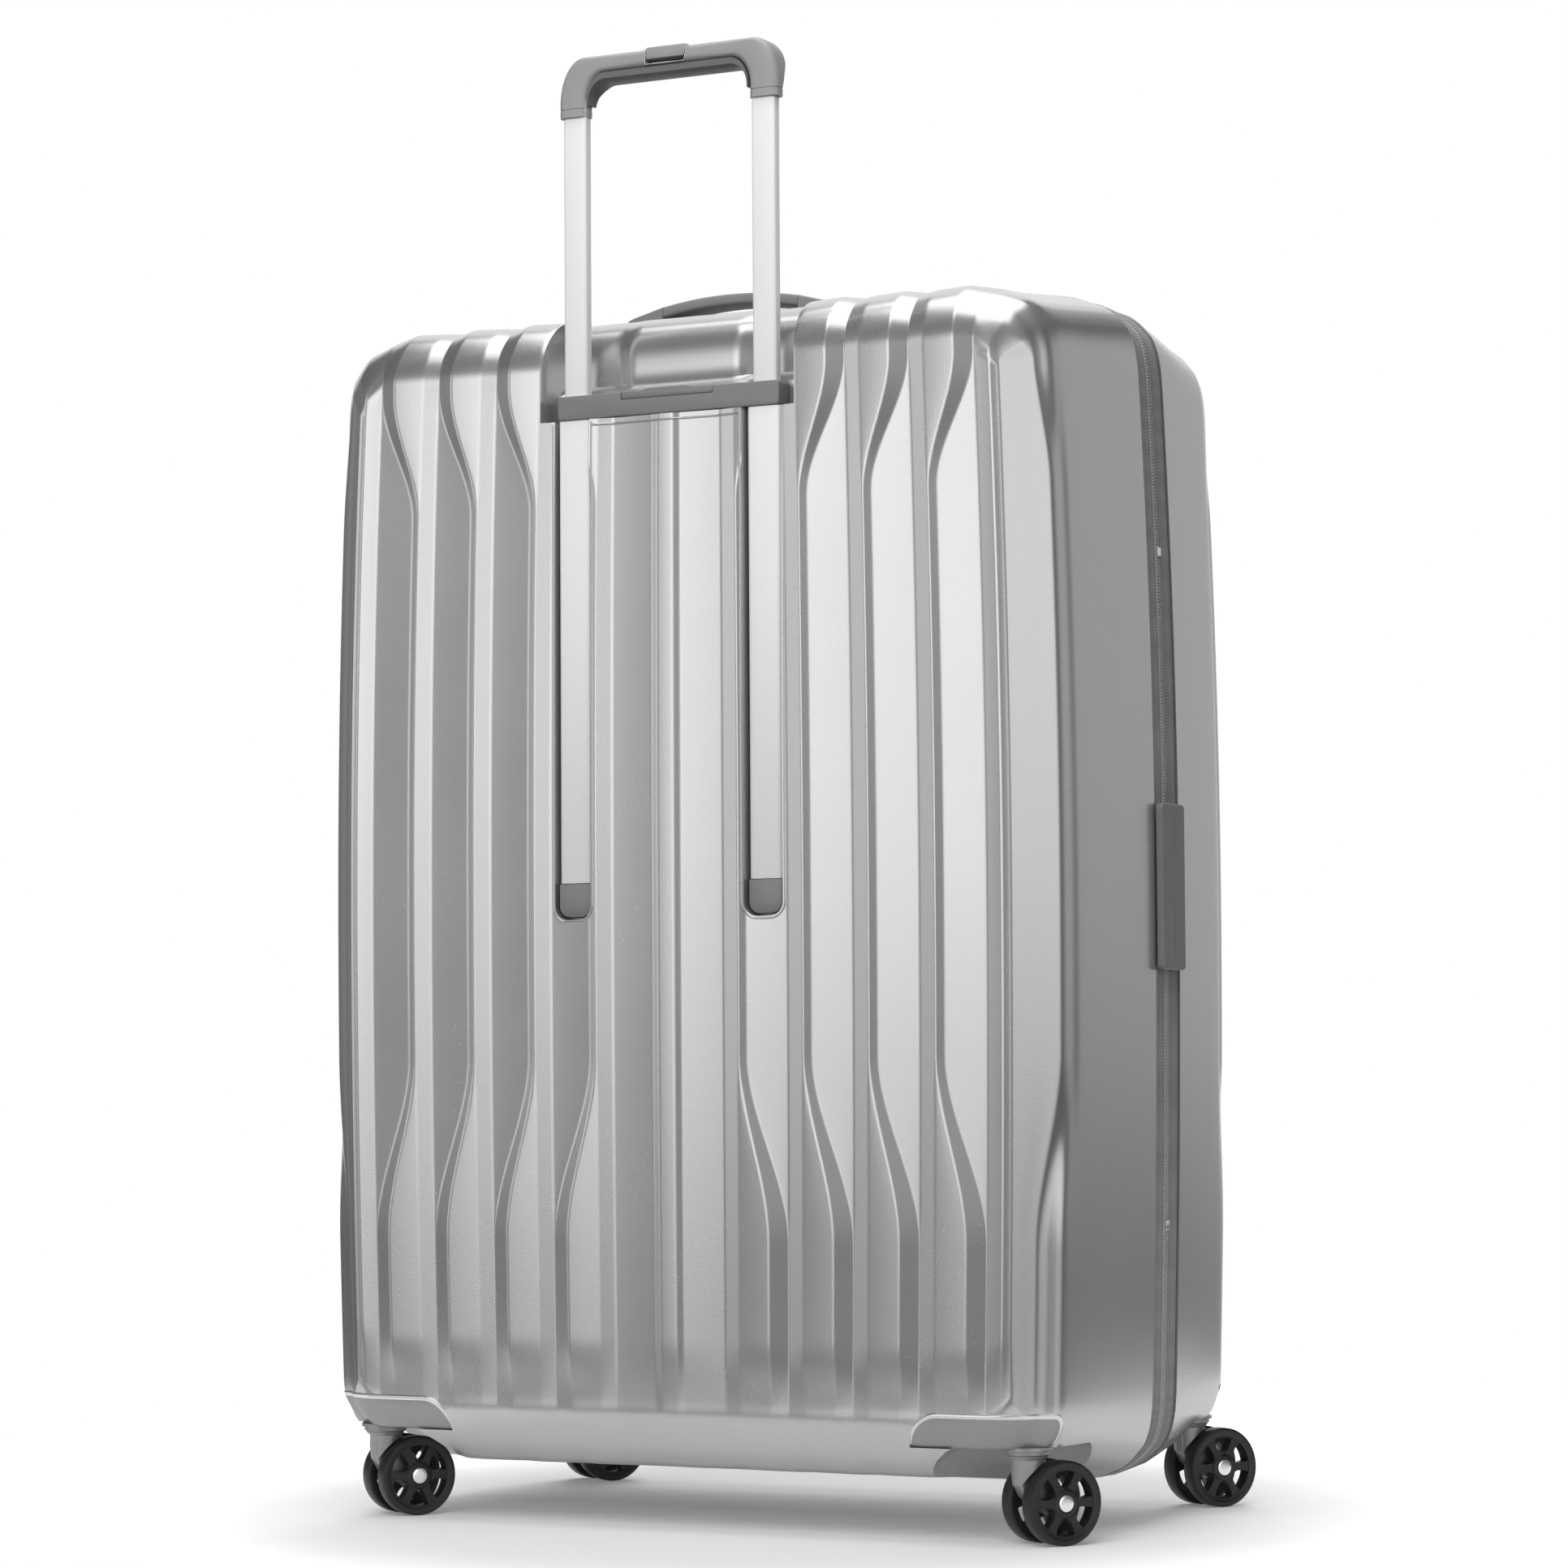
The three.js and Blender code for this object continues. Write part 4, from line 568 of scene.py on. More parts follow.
def half_case(name, form, inset=0.0, rim=BACK_RIM, over=0.0, fine=True, fluted=True):
    """Half of the case as a closed body, face towards -Y, flat at its rim."""
    def columns(s):
        x, h = columns_at(s, CREASE_ROUND if fine else 0)
        return x, (h if fine else np.minimum(h, FOOT)) * fluted

    rows = np.linspace(FACE_BOTTOM, FACE_TOP, 161 if fine else 15)
    falls = (rows - FACE_BOTTOM) / (FACE_TOP - FACE_BOTTOM)
    grid = []
    for row, fall in zip(rows, falls):
        x, h = columns(float(sway(row)))
        z = mix(FACE_BOTTOM + corner_fall(x), FACE_TOP - corner_fall(x), fall)
        grid.append(barrel(x, -FACE_DEPTH + inset - h * run_out(row) + bow(x, z), z))
    face = formed(name, form(np.array(grid)))
    x, h = columns(1.0)
    share = (x / FACE_EDGE + 1) / 2
    fan = np.linspace(0, 1, 13 if fine else 5)[1:-1]
    edge = h[0] * run_out(rows)
    sides = [
        (0, share, h), (1, fan, edge[-1] + 0 * fan), (2, falls, edge[::-1]), (3, fan, edge[0] + 0 * fan),
        (4, share, h * run_out(FACE_BOTTOM)), (5, fan, edge[0] + 0 * fan), (6, falls, edge),
        (7, fan, edge[-1] + 0 * fan),
    ]
    places = [outline(side, t) for side, t, _ in sides]
    px, pz, pa = [np.concatenate([place[k] for place in places]) for k in range(3)]
    heights = np.concatenate([height for _, _, height in sides])
    counts = (3, 5, 5, 5, 4, 8) if fine else (1,) * 6
    steps = [np.linspace(i, i + 1, count, endpoint=False) for i, count in enumerate(counts)]
    levels = np.r_[np.concatenate(steps), 6] / 6
    rings = [wall_ring(px, pz, pa, heights, t, inset, rim) for t in levels]
    if over:
        rings.append(rings[-1] + np.array([0, over, 0]))
    rings = form(np.array(rings))
    wall = formed(name + "_wall", np.concatenate([rings, rings[:, :1]], axis=1))
    whole = joined(name, wall, face)
    return in_edit(whole, merge, fill_ends, outwards)


# ------------------------------------------------------------------ let into the shells


def prism(name, points, y0, y1):
    """A plate between two depths, from its outline in X and Z."""
    return lofted(name, [[(x, y, z) for x, z in points] for y in (y0, y1)])


def arc(cx, cz, r, a0, a1, count=10):
    return [(cx + r * math.cos(math.radians(a)), cz + r * math.sin(math.radians(a)))
            for a in np.linspace(a0, a1, count)]


def channel_slot(side, grow):
    x0, x1 = CHANNEL_IN - grow, CHANNEL_OUT + grow
    r, low, top = CHANNEL_ROUND + grow, CHANNEL_BOTTOM - grow, BRACKET_BOTTOM + 10
    points = [(x1, top), (x0, top), *arc(x0 + r, low + r, r, 180, 270), *arc(x1 - r, low + r, r, 270, 360)]
    return prism("slot", [(side * x, z) for x, z in points], -FACE_DEPTH - 40, CHANNEL_FLOOR + grow)


RECESS_HALF, RECESS_SIDE, RECESS_END = 83.5, 9.5, 95
RECESS_DEEP, BOLSTER_DEEP, BOLSTER_HALF, BOLSTER_SIDE = 30.5, 26, 38, 14


def bezier(t, a, b, c, d):
    u = 1 - t
    return u ** 3 * a + 3 * u * u * t * b + 3 * u * t * t * c + t ** 3 * d


def recess(grow):
    """The hand recess: deep beside the posts, a bolster in the middle, rolling over at the top."""
    sections = []
    ends = np.linspace(80, RECESS_END, 13)
    for x in np.concatenate([-ends[::-1], np.linspace(-77, 77, 45), ends]):
        a = abs(x)
        depth = mix(BOLSTER_DEEP, RECESS_DEEP, ease((a - BOLSTER_HALF) / BOLSTER_SIDE))
        depth = mix(depth, -1.5, ease((a - RECESS_HALF - grow) / RECESS_SIDE))
        floor = -FACE_DEPTH + depth + grow
        low = BRACKET_BOTTOM - 0.6 - grow
        shelf = min(floor, -146.2 + grow)
        path = [(shelf, low), (shelf, BRACKET_TOP + 1.5), (mix(shelf, floor, 0.3), BRACKET_TOP + 3.5),
                (mix(shelf, floor, 0.8), BRACKET_TOP + 6), (floor, BRACKET_TOP + 9)]
        path += [(bezier(t, floor, floor + 0.5, floor + 8, floor + 52 - grow),
                  bezier(t, 742, 766, 779.5 - grow, 783.5 - grow)) for t in np.linspace(0, 1, 14)]
        section = [(-230, 830), (-230, low), *path, (path[-1][0], 830)]
        sections.append([(x, y, z) for y, z in section])
    return lofted("recess", sections)


def turned(name, profile, segments, cx=0.0, cy=0.0):
    """A turned body about an upright axis, from (radius, z) pairs that start and end on it."""
    angles = np.linspace(0, 2 * math.pi, segments + 1)
    places = [[(cx + r * math.cos(a), cy + r * math.sin(a), z) for a in angles] for r, z in profile]
    return in_edit(formed(name, np.array(places)), merge, outwards)


def well(side, grow):
    top = GUARD_BOTTOM + 1 + grow
    profile = [(0, 0), (66 + grow, 0), (66 + grow, 20), (65 + grow, 30), (60 + grow, 44 + grow),
               (56 + grow, 51 + grow), (50 + grow, top - 3), (45 + grow, top), (0, top)]
    return turned("well", profile, 64, side * CASTER_X, -CASTER_Y)


GUARD_TURN = (CASTER_X - 9, -CASTER_Y - 10)
GUARD_FLAT, GUARD_BEND, GUARD_SIDE = 58.0, 41.0, 8.5
GUARD_LONG = GUARD_FLAT + GUARD_BEND + GUARD_SIDE


def skin_of(form):
    """The smooth skin that a guard is fitted to, ready to be measured."""
    thing = half_case("skin", form, fluted=False)
    tree = tree_of(thing)
    bpy.data.objects.remove(thing)
    return tree


def on_corner(skin, s, z, out=0.0, lean=0.0):
    """A place over the back right corner, at a distance along the guard and a height."""
    cx, cy = GUARD_TURN
    if s < GUARD_FLAT:
        start, way = (cx - GUARD_FLAT + s, cy), (0.0, -1.0)
    elif s < GUARD_FLAT + GUARD_BEND:
        a = math.radians(90 * (s - GUARD_FLAT) / GUARD_BEND - 90)
        start, way = (cx, cy), (math.cos(a), math.sin(a))
    else:
        start, way = (cx, cy + s - GUARD_FLAT - GUARD_BEND), (1.0, 0.0)
    hit = skin.ray_cast(Vector((*start, z)) * MM, Vector((*way, 0)))[0] / MM
    draw = lean * max(0, GUARD_BOTTOM + GUARD_HIGH - z)
    return (hit.x * (1 - draw / CASE_HALF) + way[0] * out,
            hit.y * (1 - 0.5 * draw / FACE_DEPTH) + way[1] * out, z)


def guard_top(s):
    """How much of its full height the guard has reached."""
    rise = min(1, s / GUARD_ROUND)
    fall = min(1, (GUARD_LONG - s) / GUARD_END)
    return math.sqrt(max(0, 1 - (1 - rise) ** 2)) * math.sqrt(max(0, 1 - (1 - fall) ** 2))


def guard_stations():
    tip = GUARD_ROUND * np.linspace(0.001, 1, 15) ** 1.8
    end = GUARD_LONG - GUARD_END * np.linspace(1, 0.001, 11) ** 1.8
    return np.concatenate([tip, np.arange(24, 97, 2.4), end])


def sided(places, side):
    return [(side * x, y, z) for x, y, z in places]


def guard_seat(skin, side, grow):
    """The seat cut for a guard, a little larger all round."""
    room = 0.3 + grow
    sections = []
    for s in np.r_[-room, guard_stations(), GUARD_LONG + room]:
        near = min(max(s, 0.02), GUARD_LONG - 0.02)
        low, top = GUARD_BOTTOM - room, GUARD_BOTTOM + max(0.5, GUARD_HIGH * guard_top(near)) + room
        seat = -GUARD_SEAT - room
        sections.append(sided([on_corner(skin, s, low, seat), on_corner(skin, s, low, 14),
                               on_corner(skin, s, top, 14), on_corner(skin, s, top, seat)], side))
    return lofted("seat", sections)


def pocket(x0, y0, z0, x1, y1, z1):
    return prism("pocket", [(x0, z0), (x1, z0), (x1, z1), (x0, z1)], y0, y1)


def lock_pocket(grow):
    g = 0.3 + grow
    half = LOCK_HALF + g
    return pocket(-292, LOCK_BACK - g, SIDE_Z - half, LOCK_FLOOR + g, LOCK_EDGE + g, SIDE_Z + half)


def foot_pocket(side, grow):
    g = 0.3 + grow
    x0, x1 = sorted((side * (50 - g), side * (80 + g)))
    return pocket(x0, STRAP_Y - TOP_HALF - g, SEAT_Z - g, x1, STRAP_Y + TOP_HALF + g, 820)


def corner_cutters(skin):
    """What both halves are cut by: the caster wells and the guards' seats."""
    return lambda grow: [*(well(side, grow) for side in SIDES), *(guard_seat(skin, side, grow) for side in SIDES)]


def back_cutters(grow):
    return [*(channel_slot(side, grow) for side in SIDES), recess(grow), *corner_cutters(BACK_SKIN)(grow),
            lock_pocket(grow), *(foot_pocket(side, grow) for side in SIDES)]


def shell(name, rim, form, cutters):
    outer = combine(half_case(name, form, rim=rim), *cutters(0))
    inner = half_case(name + "_inner", form, inset=WALL, rim=rim, over=5, fine=False)
    return combine(outer, combine(inner, *cutters(WALL)))


def mirrored(thing, axis):
    alone(thing)
    scale = [1, 1, 1]
    scale["xyz".index(axis)] = -1
    thing.scale = scale
    bpy.ops.object.transform_apply(location=True, rotation=True, scale=True)
    return in_edit(thing, outwards)


BACK_SKIN, LID_SKIN = skin_of(back_form), skin_of(lid_form(-FRONT_RIM))
back = smooth(shell("back_case", BACK_RIM, back_form, back_cutters))
dress(back, "case", SILVER, "back_shell")
front = smooth(mirrored(shell("lid_case", -FRONT_RIM, lid_form(-FRONT_RIM), corner_cutters(LID_SKIN)), "y"))
dress(front, "lid", SILVER, "front_shell")

# ------------------------------------------------------------------ trolley


def rounded(u0, v0, u1, v1, r, count=6):
    corners = ((u1 - r, v0 + r, 270), (u1 - r, v1 - r, 0), (u0 + r, v1 - r, 90), (u0 + r, v0 + r, 180))
    return [point for u, v, a in corners for point in arc(u, v, r, a, a + 90, count)]


def soften(thing, width, segments=2, angle=38, shade=35):
    apply(thing, "BEVEL", width=width * MM, segments=segments, limit_method="ANGLE",
          angle_limit=math.radians(angle), harden_normals=False)
    return smooth(thing, shade)


def flat_xy(points, z):
    return [(x, y, z) for x, y in points]


def tube(name, x, front, width, depth, wall, r, z0, z1):
    outer = rounded(x - width / 2, front, x + width / 2, front + depth, r)
    inner = rounded(x - width / 2 + wall, front + wall, x + width / 2 - wall, front + depth - wall,
                    r - 0.7 * wall)
    rings = [flat_xy(points, z) for points, z in ((outer, z0), (outer, z1), (inner, z1), (inner, z0))]
    return soften(lofted(name, rings, wrap=True), 0.25)


SLEEVE_FRONT, SLEEVE_WIDE, SLEEVE_DEEP, SLEEVE_WALL, SLEEVE_ROUND = -160.5, 23.2, 12, 1.4, 2.6
SLEEVE_LOW, SLEEVE_TOP, FOOT_LOW = 410.6, 708.6, 389
POST_FRONT, POST_WIDE, POST_DEEP, POST_WALL, POST_ROUND = -158.75, 16.8, 8.4, 1.3, 2.2
POST_LOW, POST_TOP = 640, 921


def post_hole(side, room, z0, z1):
    """Room for one post, with a clearance all round."""
    x, half = side * POST_X, POST_WIDE / 2 + room
    return pocket(x - half, POST_FRONT - room, z0, x + half, POST_FRONT + POST_DEEP + room, z1)


for side, hand in HANDS:
    x = side * POST_X
    sleeve = tube("sleeve_tube_" + hand, x, SLEEVE_FRONT, SLEEVE_WIDE, SLEEVE_DEEP, SLEEVE_WALL, SLEEVE_ROUND,
                  SLEEVE_LOW, SLEEVE_TOP)
    dress(sleeve, "case", SATIN, "sleeve_" + hand)
    post = tube("post_tube_" + hand, x, POST_FRONT, POST_WIDE, POST_DEEP, POST_WALL, POST_ROUND, POST_LOW,
                POST_TOP)
    dress(post, "trolley", SATIN, "post_" + hand)
    r, half_wide, top = CHANNEL_ROUND - 1.8, SLEEVE_WIDE / 2, SLEEVE_LOW - 0.3
    foot = [(x + half_wide, top), (x - half_wide, top), *arc(x - half_wide + r, FOOT_LOW + r, r, 180, 270),
            *arc(x + half_wide - r, FOOT_LOW + r, r, 270, 360)]
    cap = prism("channel_foot_" + hand, foot, SLEEVE_FRONT - 0.4, -147.0)
    dress(soften(cap, 0.6), "case", GREY, "sleeve_cap_" + hand)

BRACKET_FRONT = SLEEVE_FRONT - 1
BRACKET_HALF, BRACKET_DEEP, TAG_HALF, TONGUE_HALF = 80.1, 15, 33, 31
bridge = prism("bridge", rounded(-BRACKET_HALF, BRACKET_BOTTOM, BRACKET_HALF, BRACKET_TOP, 2.5, 5), BRACKET_FRONT,
               BRACKET_FRONT + BRACKET_DEEP)
soften(bridge, 0.9, 3)
holes = [post_hole(side, 0.35, 700, 730) for side in SIDES]
head_half, tongue_half = TAG_HALF + 0.35, TONGUE_HALF + 0.35
head_room = pocket(-head_half, BRACKET_FRONT - 1, 719.6, head_half, BRACKET_FRONT + 9.05, 726)
tongue_room = pocket(-tongue_half, BRACKET_FRONT + 3, 710.8, tongue_half, BRACKET_FRONT + 6.7, 724)
dress(smooth(combine(bridge, *holes, head_room, tongue_room)), "case", GREY, "bridge_bracket")

hump = [(x, BRACKET_TOP + 1.3 * float(ease((20 - abs(x)) / 6))) for x in np.linspace(24, -24, 33)]
tag = prism("tag_head", [(-TAG_HALF, 719.9), (TAG_HALF, 719.9), (TAG_HALF, BRACKET_TOP), *hump,
                         (-TAG_HALF, BRACKET_TOP)], BRACKET_FRONT + 0.2, BRACKET_FRONT + 8.7)
tongue = pocket(-TONGUE_HALF, BRACKET_FRONT + 3.35, 711.4, TONGUE_HALF, BRACKET_FRONT + 6.35, 722)
dress(soften(combine(tag, tongue, operation="UNION"), 0.45), "name_tag", GREY, "id_tag")

GRIP_FRONT, GRIP_TOP, LEG_OUT, LEG_IN, BAR_UNDER, LINER = -160.3, 945.0, 79.7, 57.3, 927.0, 6.2
BEND_RUN, BEND_RISE, BEND_IN = 18, 30, 12
LEG_HEIGHTS, PARTING = (906, 908, 910.6, 910.9, 911.3, 911.6, 913), (910.7, 911.5)


def grip_back(z, inset=0.0):
    """How far back the grip reaches at a height."""
    heights, backs = (906, 912, 920, 927, 933, 945), (-148.7, -148.7, -145.4, -140.2, -138.1, -138.1)
    return np.interp(z, heights, backs) - inset


def both_legs(half):
    """The sections of half the U, and the same ones mirrored."""
    return half + [[(-x, y, z) for x, y, z in section] for section in half[:-1]][::-1]


def grip_rails(leg, bar):
    """Outer and inner rail of half the U, from the leg's foot to the middle of the bar."""
    outer, inner = [], []
    for z in LEG_HEIGHTS:
        outer.append((LEG_OUT, z))
        inner.append((LEG_IN + leg, z))
    for a in np.radians(np.linspace(0, 90, 19)):
        outer.append((LEG_OUT - BEND_RUN + BEND_RUN * math.cos(a), GRIP_TOP - BEND_RISE + BEND_RISE * math.sin(a)))
        inner.append((LEG_IN - BEND_IN + (BEND_IN + leg) * math.cos(a),
                      BAR_UNDER - BEND_IN + (BEND_IN + bar) * math.sin(a)))
    for x in np.linspace(0.96, 0, 16):
        outer.append(((LEG_OUT - BEND_RUN) * x, GRIP_TOP))
        inner.append(((LEG_IN - BEND_IN) * x, BAR_UNDER + bar))
    return outer, inner


def grip_sections(leg, bar, seam, corner, squeeze):
    """Rounded sections all the way round the U."""
    outer, inner = grip_rails(leg, bar)
    half = []
    for (xo, zo), (xi, zi) in zip(outer, inner):
        zc = (zo + zi) / 2
        front, back = GRIP_FRONT, float(grip_back(zc))
        pinch = 0.35 if seam and PARTING[0] < zo < PARTING[1] else 0.0
        wide = math.hypot(xo - xi, zo - zi)
        r = min(corner, wide / 2 - 0.05, (back - front) / 2 - 0.1)
        section = []
        for u, v in rounded(pinch, pinch + squeeze, wide - pinch, back - front - pinch - squeeze, r, 7):
            t = u / wide
            section.append((xi + (xo - xi) * t, front + v, zi + (zo - zi) * t))
        half.append(section)
    return both_legs(half)


grip = lofted("grip", grip_sections(1.6, LINER + 0.3, True, 4.6, 0.0))
BUTTON_ROOM, ROOM_LOW = 15.3, 934.7
button_pocket = prism("pocket", [(-BUTTON_ROOM, ROOM_LOW), (BUTTON_ROOM - 2.2, ROOM_LOW), (BUTTON_ROOM + 0.2, 950),
                                 (-BUTTON_ROOM, 950)], GRIP_FRONT - 1, GRIP_FRONT + 10.3)
combine(grip, button_pocket, *(post_hole(side, 0.3, 900, POST_TOP + 0.3) for side in SIDES))
dress(smooth(grip, 40), "trolley", GRIP, "grip_shell")


def liner_sections():
    """Sections of the soft lining inside the U, hollowed on the side that the fingers hold."""
    far, near = grip_rails(1.3, LINER)[1][6:], grip_rails(0, 0)[1][6:]
    half = []
    for (xo, zo), (xi, zi) in zip(far, near):
        front, back = GRIP_FRONT + 0.5, float(grip_back((zo + zi) / 2, 0.6))
        curved = []
        for v in np.linspace(0, 1, 9):
            sag = 0.35 * (1 - math.sin(math.pi * v) ** 0.5)
            curved.append((xi + (xo - xi) * sag, front + (back - front) * v, zi + (zo - zi) * sag))
        half.append(curved + [(xo, back, zo), (xo, front, zo)])
    return both_legs(half)


# The lining's dark grey is partly its own colour and partly painted shade under the grip's bar.
dress(smooth(lofted("grip_lining", liner_sections()), 45), "trolley", LINER_AND_SHADE, "grip_liner")
button = prism("button", [(-15, 938), (12.6, 938), (15, 944), (14, 945.8), (-14, 945.8), (-15, 944.8)],
               GRIP_FRONT + 0.3, GRIP_FRONT + 10)
dress(soften(button, 0.7, 3), "grip_release", GRIP, "grip_button")


BEAD = [(0.55 * math.cos(a), 0.4 * math.sin(a)) for a in np.linspace(0, 2 * math.pi, 9)[:-1]]
MITRE = 0.7
corners = [(-BUTTON_ROOM, GRIP_TOP, 1, 0), (-BUTTON_ROOM, ROOM_LOW, MITRE, MITRE),
           (BUTTON_ROOM - 2.2, ROOM_LOW, MITRE, MITRE), (BUTTON_ROOM + 0.2, GRIP_TOP, 1, 0)]
border = lofted("button_outline", [[(x + u * dx, GRIP_FRONT - 0.05 + v, z + u * dz) for u, v in BEAD]
                                   for x, z, dx, dz in corners])
dress(smooth(border, 60), "trolley", BRIGHT)

# ------------------------------------------------------------------ corner guards


def guard_piece(skin, side, name):
    """A guard: rounded along its top edge, drawing in towards the bottom."""
    sections = []
    for s in guard_stations():
        high = max(0.6, GUARD_HIGH * guard_top(s))
        r = min(1.6, high * 0.4)
        low, top = GUARD_BOTTOM, GUARD_BOTTOM + high
        heights = [(low, GUARD_PROUD - 0.5 * r), (low + 0.35 * r, GUARD_PROUD - 0.15 * r)]
        heights += [(z, GUARD_PROUD) for z in np.linspace(low + r, top - r, 7)]
        heights += [(top - r + r * math.sin(a), GUARD_PROUD - r + r * math.cos(a))
                    for a in (0.5, 1.0, math.pi / 2)]
        skin_side = [on_corner(skin, s, z, out, GUARD_LEAN) for z, out in heights]
        seat = [on_corner(skin, s, z, -GUARD_SEAT) for z in (top, low)]
        sections.append(sided(skin_side + seat, side))
    return lofted(name, sections)


def edge_place(e):
    """A place on the guard's upper edge and the way in from it, along and up."""
    flat = GUARD_LONG - GUARD_ROUND - GUARD_END
    if e < 1:
        a = math.radians(90 * e)
        s, z = GUARD_ROUND * (1 - math.cos(a)), GUARD_HIGH * math.sin(a)
        way = (math.cos(a) / GUARD_ROUND, -math.sin(a) / GUARD_HIGH)
    elif e < 2:
        s, z, way = GUARD_ROUND + flat * (e - 1), GUARD_HIGH, (0.0, -1.0)
    else:
        a = math.radians(90 * (3 - e))
        s, z = GUARD_LONG - GUARD_END * (1 - math.cos(a)), GUARD_HIGH * math.sin(a)
        way = (-math.cos(a) / GUARD_END, -math.sin(a) / GUARD_HIGH)
    size = math.hypot(*way)
    return s, GUARD_BOTTOM + z, way[0] / size, way[1] / size


TRIM_SECTION = [(-0.25, -1.4), (-0.3, 0.3), (0.1, 0.95), (0.7, 1.3), (2.5, 1.35), (2.9, 1.1), (2.9, -0.2)]


def trim_piece(skin, side, name):
    """The bright strip along a guard's upper edge and round its tip."""
    sections = []
    for e in np.concatenate([np.linspace(0.06, 1, 18), np.linspace(1.03, 1.97, 34), np.linspace(2, 2.9, 12)]):
        s, z, along, up = edge_place(e)
        section = []
        for inward, out in TRIM_SECTION:
            near = min(max(s + along * inward, 0.01), GUARD_LONG - 0.01)
            section.append(on_corner(skin, near, max(z + up * inward, GUARD_BOTTOM + 0.1), out, GUARD_LEAN))
        sections.append(sided(section, side))
    return lofted(name, sections)


for face, owner, skin in (("back", "case", BACK_SKIN), ("front", "lid", LID_SKIN)):
    for side, hand in HANDS:
        body = guard_piece(skin, side, f"corner_{face}_{hand}")
        trim = trim_piece(skin, side, f"corner_trim_{face}_{hand}")
        if face == "front":
            mirrored(body, "y")
            mirrored(trim, "y")
        dress(smooth(body, 50), owner, GUARD, f"{face}_guard_{hand}")
        dress(smooth(trim, 50), owner, TRIM)

# ------------------------------------------------------------------ zip


def rim_line(count):
    """Evenly spaced places round the rim: x, z and angle on the face's outline, and the way round."""
    parts = [outline(side, np.linspace(0, 1, 400, endpoint=False)) for side in range(8)]
    x, z, angle = [np.concatenate([part[k] for part in parts]) for k in range(3)]
    x, z, angle = np.r_[x, x[:1]], np.r_[z, z[:1]], np.r_[angle, angle[:1] - 2 * math.pi]
    ring = wall_ring(x, z, angle, 0 * x, 1, 0, BACK_RIM)
    way = np.r_[0, np.cumsum(np.linalg.norm(np.diff(ring, axis=0), axis=1))]
    at = np.linspace(0, way[-1], count, endpoint=False)
    return [np.interp(at, way, part) for part in (x, z, angle)]


def along_rim(line, inset, beyond, rim, form):
    """Places set in from the skin at the rim: on the wall behind it, straight on beyond it."""
    x, z, angle = line
    at, behind = [form(wall_ring(x, z, angle, 0 * x, t, inset, rim)) for t in (1, 0.96)]
    run = at - behind
    steps = np.asarray(beyond) / run[:, 1]
    ahead = np.maximum(beyond, 0)[..., None] * np.array([0, 1, 0])
    return at + np.where(steps < 0, steps, 0)[:, None] * run + ahead


def rim_rings(line, section, rim, form):
    """One ring round the rim for each (inset, beyond) pair of numbers or of arrays."""
    none = np.zeros(len(line[0]))
    return [along_rim(line, inset + none, beyond + none, rim, form) for inset, beyond in section]


def round_the_rim(name, line, section, rim, form):
    """A closed ring of one section."""
    return lofted(name, np.stack(rim_rings(line, section, rim, form), axis=1), wrap=True)


TAPE_LINE = rim_line(720)
SEAM = [(5.2, 0.0), (5.5, 0.2), (5.9, 0.2), (6.2, 0.0), (12.2, 0.0), (12.5, 0.2), (12.9, 0.2), (13.2, 0.0)]
TAPE_SECTION = [(2.8, -10), (2.8, 0.8), (1.4, 1.3), (1.0, 2.2), *[(1.0 + dip, at) for at, dip in SEAM],
                (1.0, 15.7), (1.5, 16.4), (1.5, 19.6), (2.3, 19.6), (2.3, 2.0), (3.6, 1.0), (3.6, -10)]
HEM_SECTION = [(3.8, -10.3), (13.0, -10.3), (13.4, -11.1), (13.0, -11.9), (3.8, -11.9)]
DIVIDER_SECTION = [(6.0, 1.8), (3.6, 2.1), (3.4, 2.9), (3.6, 3.7), (6.0, 4.0)]
DIVIDER_ZIP_SECTION = [(16.0, 3.9), (15.4, 4.5), (14.6, 4.5), (14.0, 3.9)]
TEETH, TOOTH_STEPS = 1220, 6
TEETH_LINE = rim_line(TEETH * TOOTH_STEPS)


def teeth_section(way):
    """The row of teeth of one half; way is 1 or -1, so that both halves mesh."""
    turn = np.sin(2 * math.pi * np.arange(TEETH * TOOTH_STEPS) / TOOTH_STEPS) * way
    edge = 19.95 + 0.6 * turn
    top = 1.3 - 0.95 * (0.5 + 0.5 * turn) ** 0.7
    return [(1.9, 16.6), (1.2, 16.9), (top, 17.5), (top, edge - 0.5), (top + 0.35, edge), (2.4, edge),
            (2.4, 16.6)]


LID_FORM = lid_form(-FRONT_RIM)
for half, owner, rim, form, way in (("back", "case", BACK_RIM, back_form, 1),
                                    ("front", "lid", -FRONT_RIM, LID_FORM, -1)):
    tape = round_the_rim(f"zip_tape_{half}", TAPE_LINE, TAPE_SECTION, rim, form)
    teeth = round_the_rim(f"zip_teeth_{half}", TEETH_LINE, teeth_section(way), rim, form)
    hem = round_the_rim(f"lining_hem_{half}", TAPE_LINE, HEM_SECTION, rim, form)
    if half == "back":
        combine(tape, lock_pocket(WALL))
    else:
        for thing in (tape, teeth, hem):
            mirrored(thing, "y")
    dress(smooth(hem, 50), owner, HEM)
    dress(smooth(tape, 50), owner, TAPE, f"{half}_zip_half")
    dress(smooth(teeth, 60), owner, TEETH_GREY)

divider = mirrored(lofted("divider_cloth", rim_rings(TAPE_LINE, DIVIDER_SECTION, -FRONT_RIM, LID_FORM)), "y")
dress(smooth(divider, 40), "lid", LINING, "divider_panel")
seam = mirrored(round_the_rim("divider_zip", TAPE_LINE, DIVIDER_ZIP_SECTION, -FRONT_RIM, LID_FORM), "y")
dress(smooth(seam, 50), "lid", BLACK)

# ------------------------------------------------------------------ handles


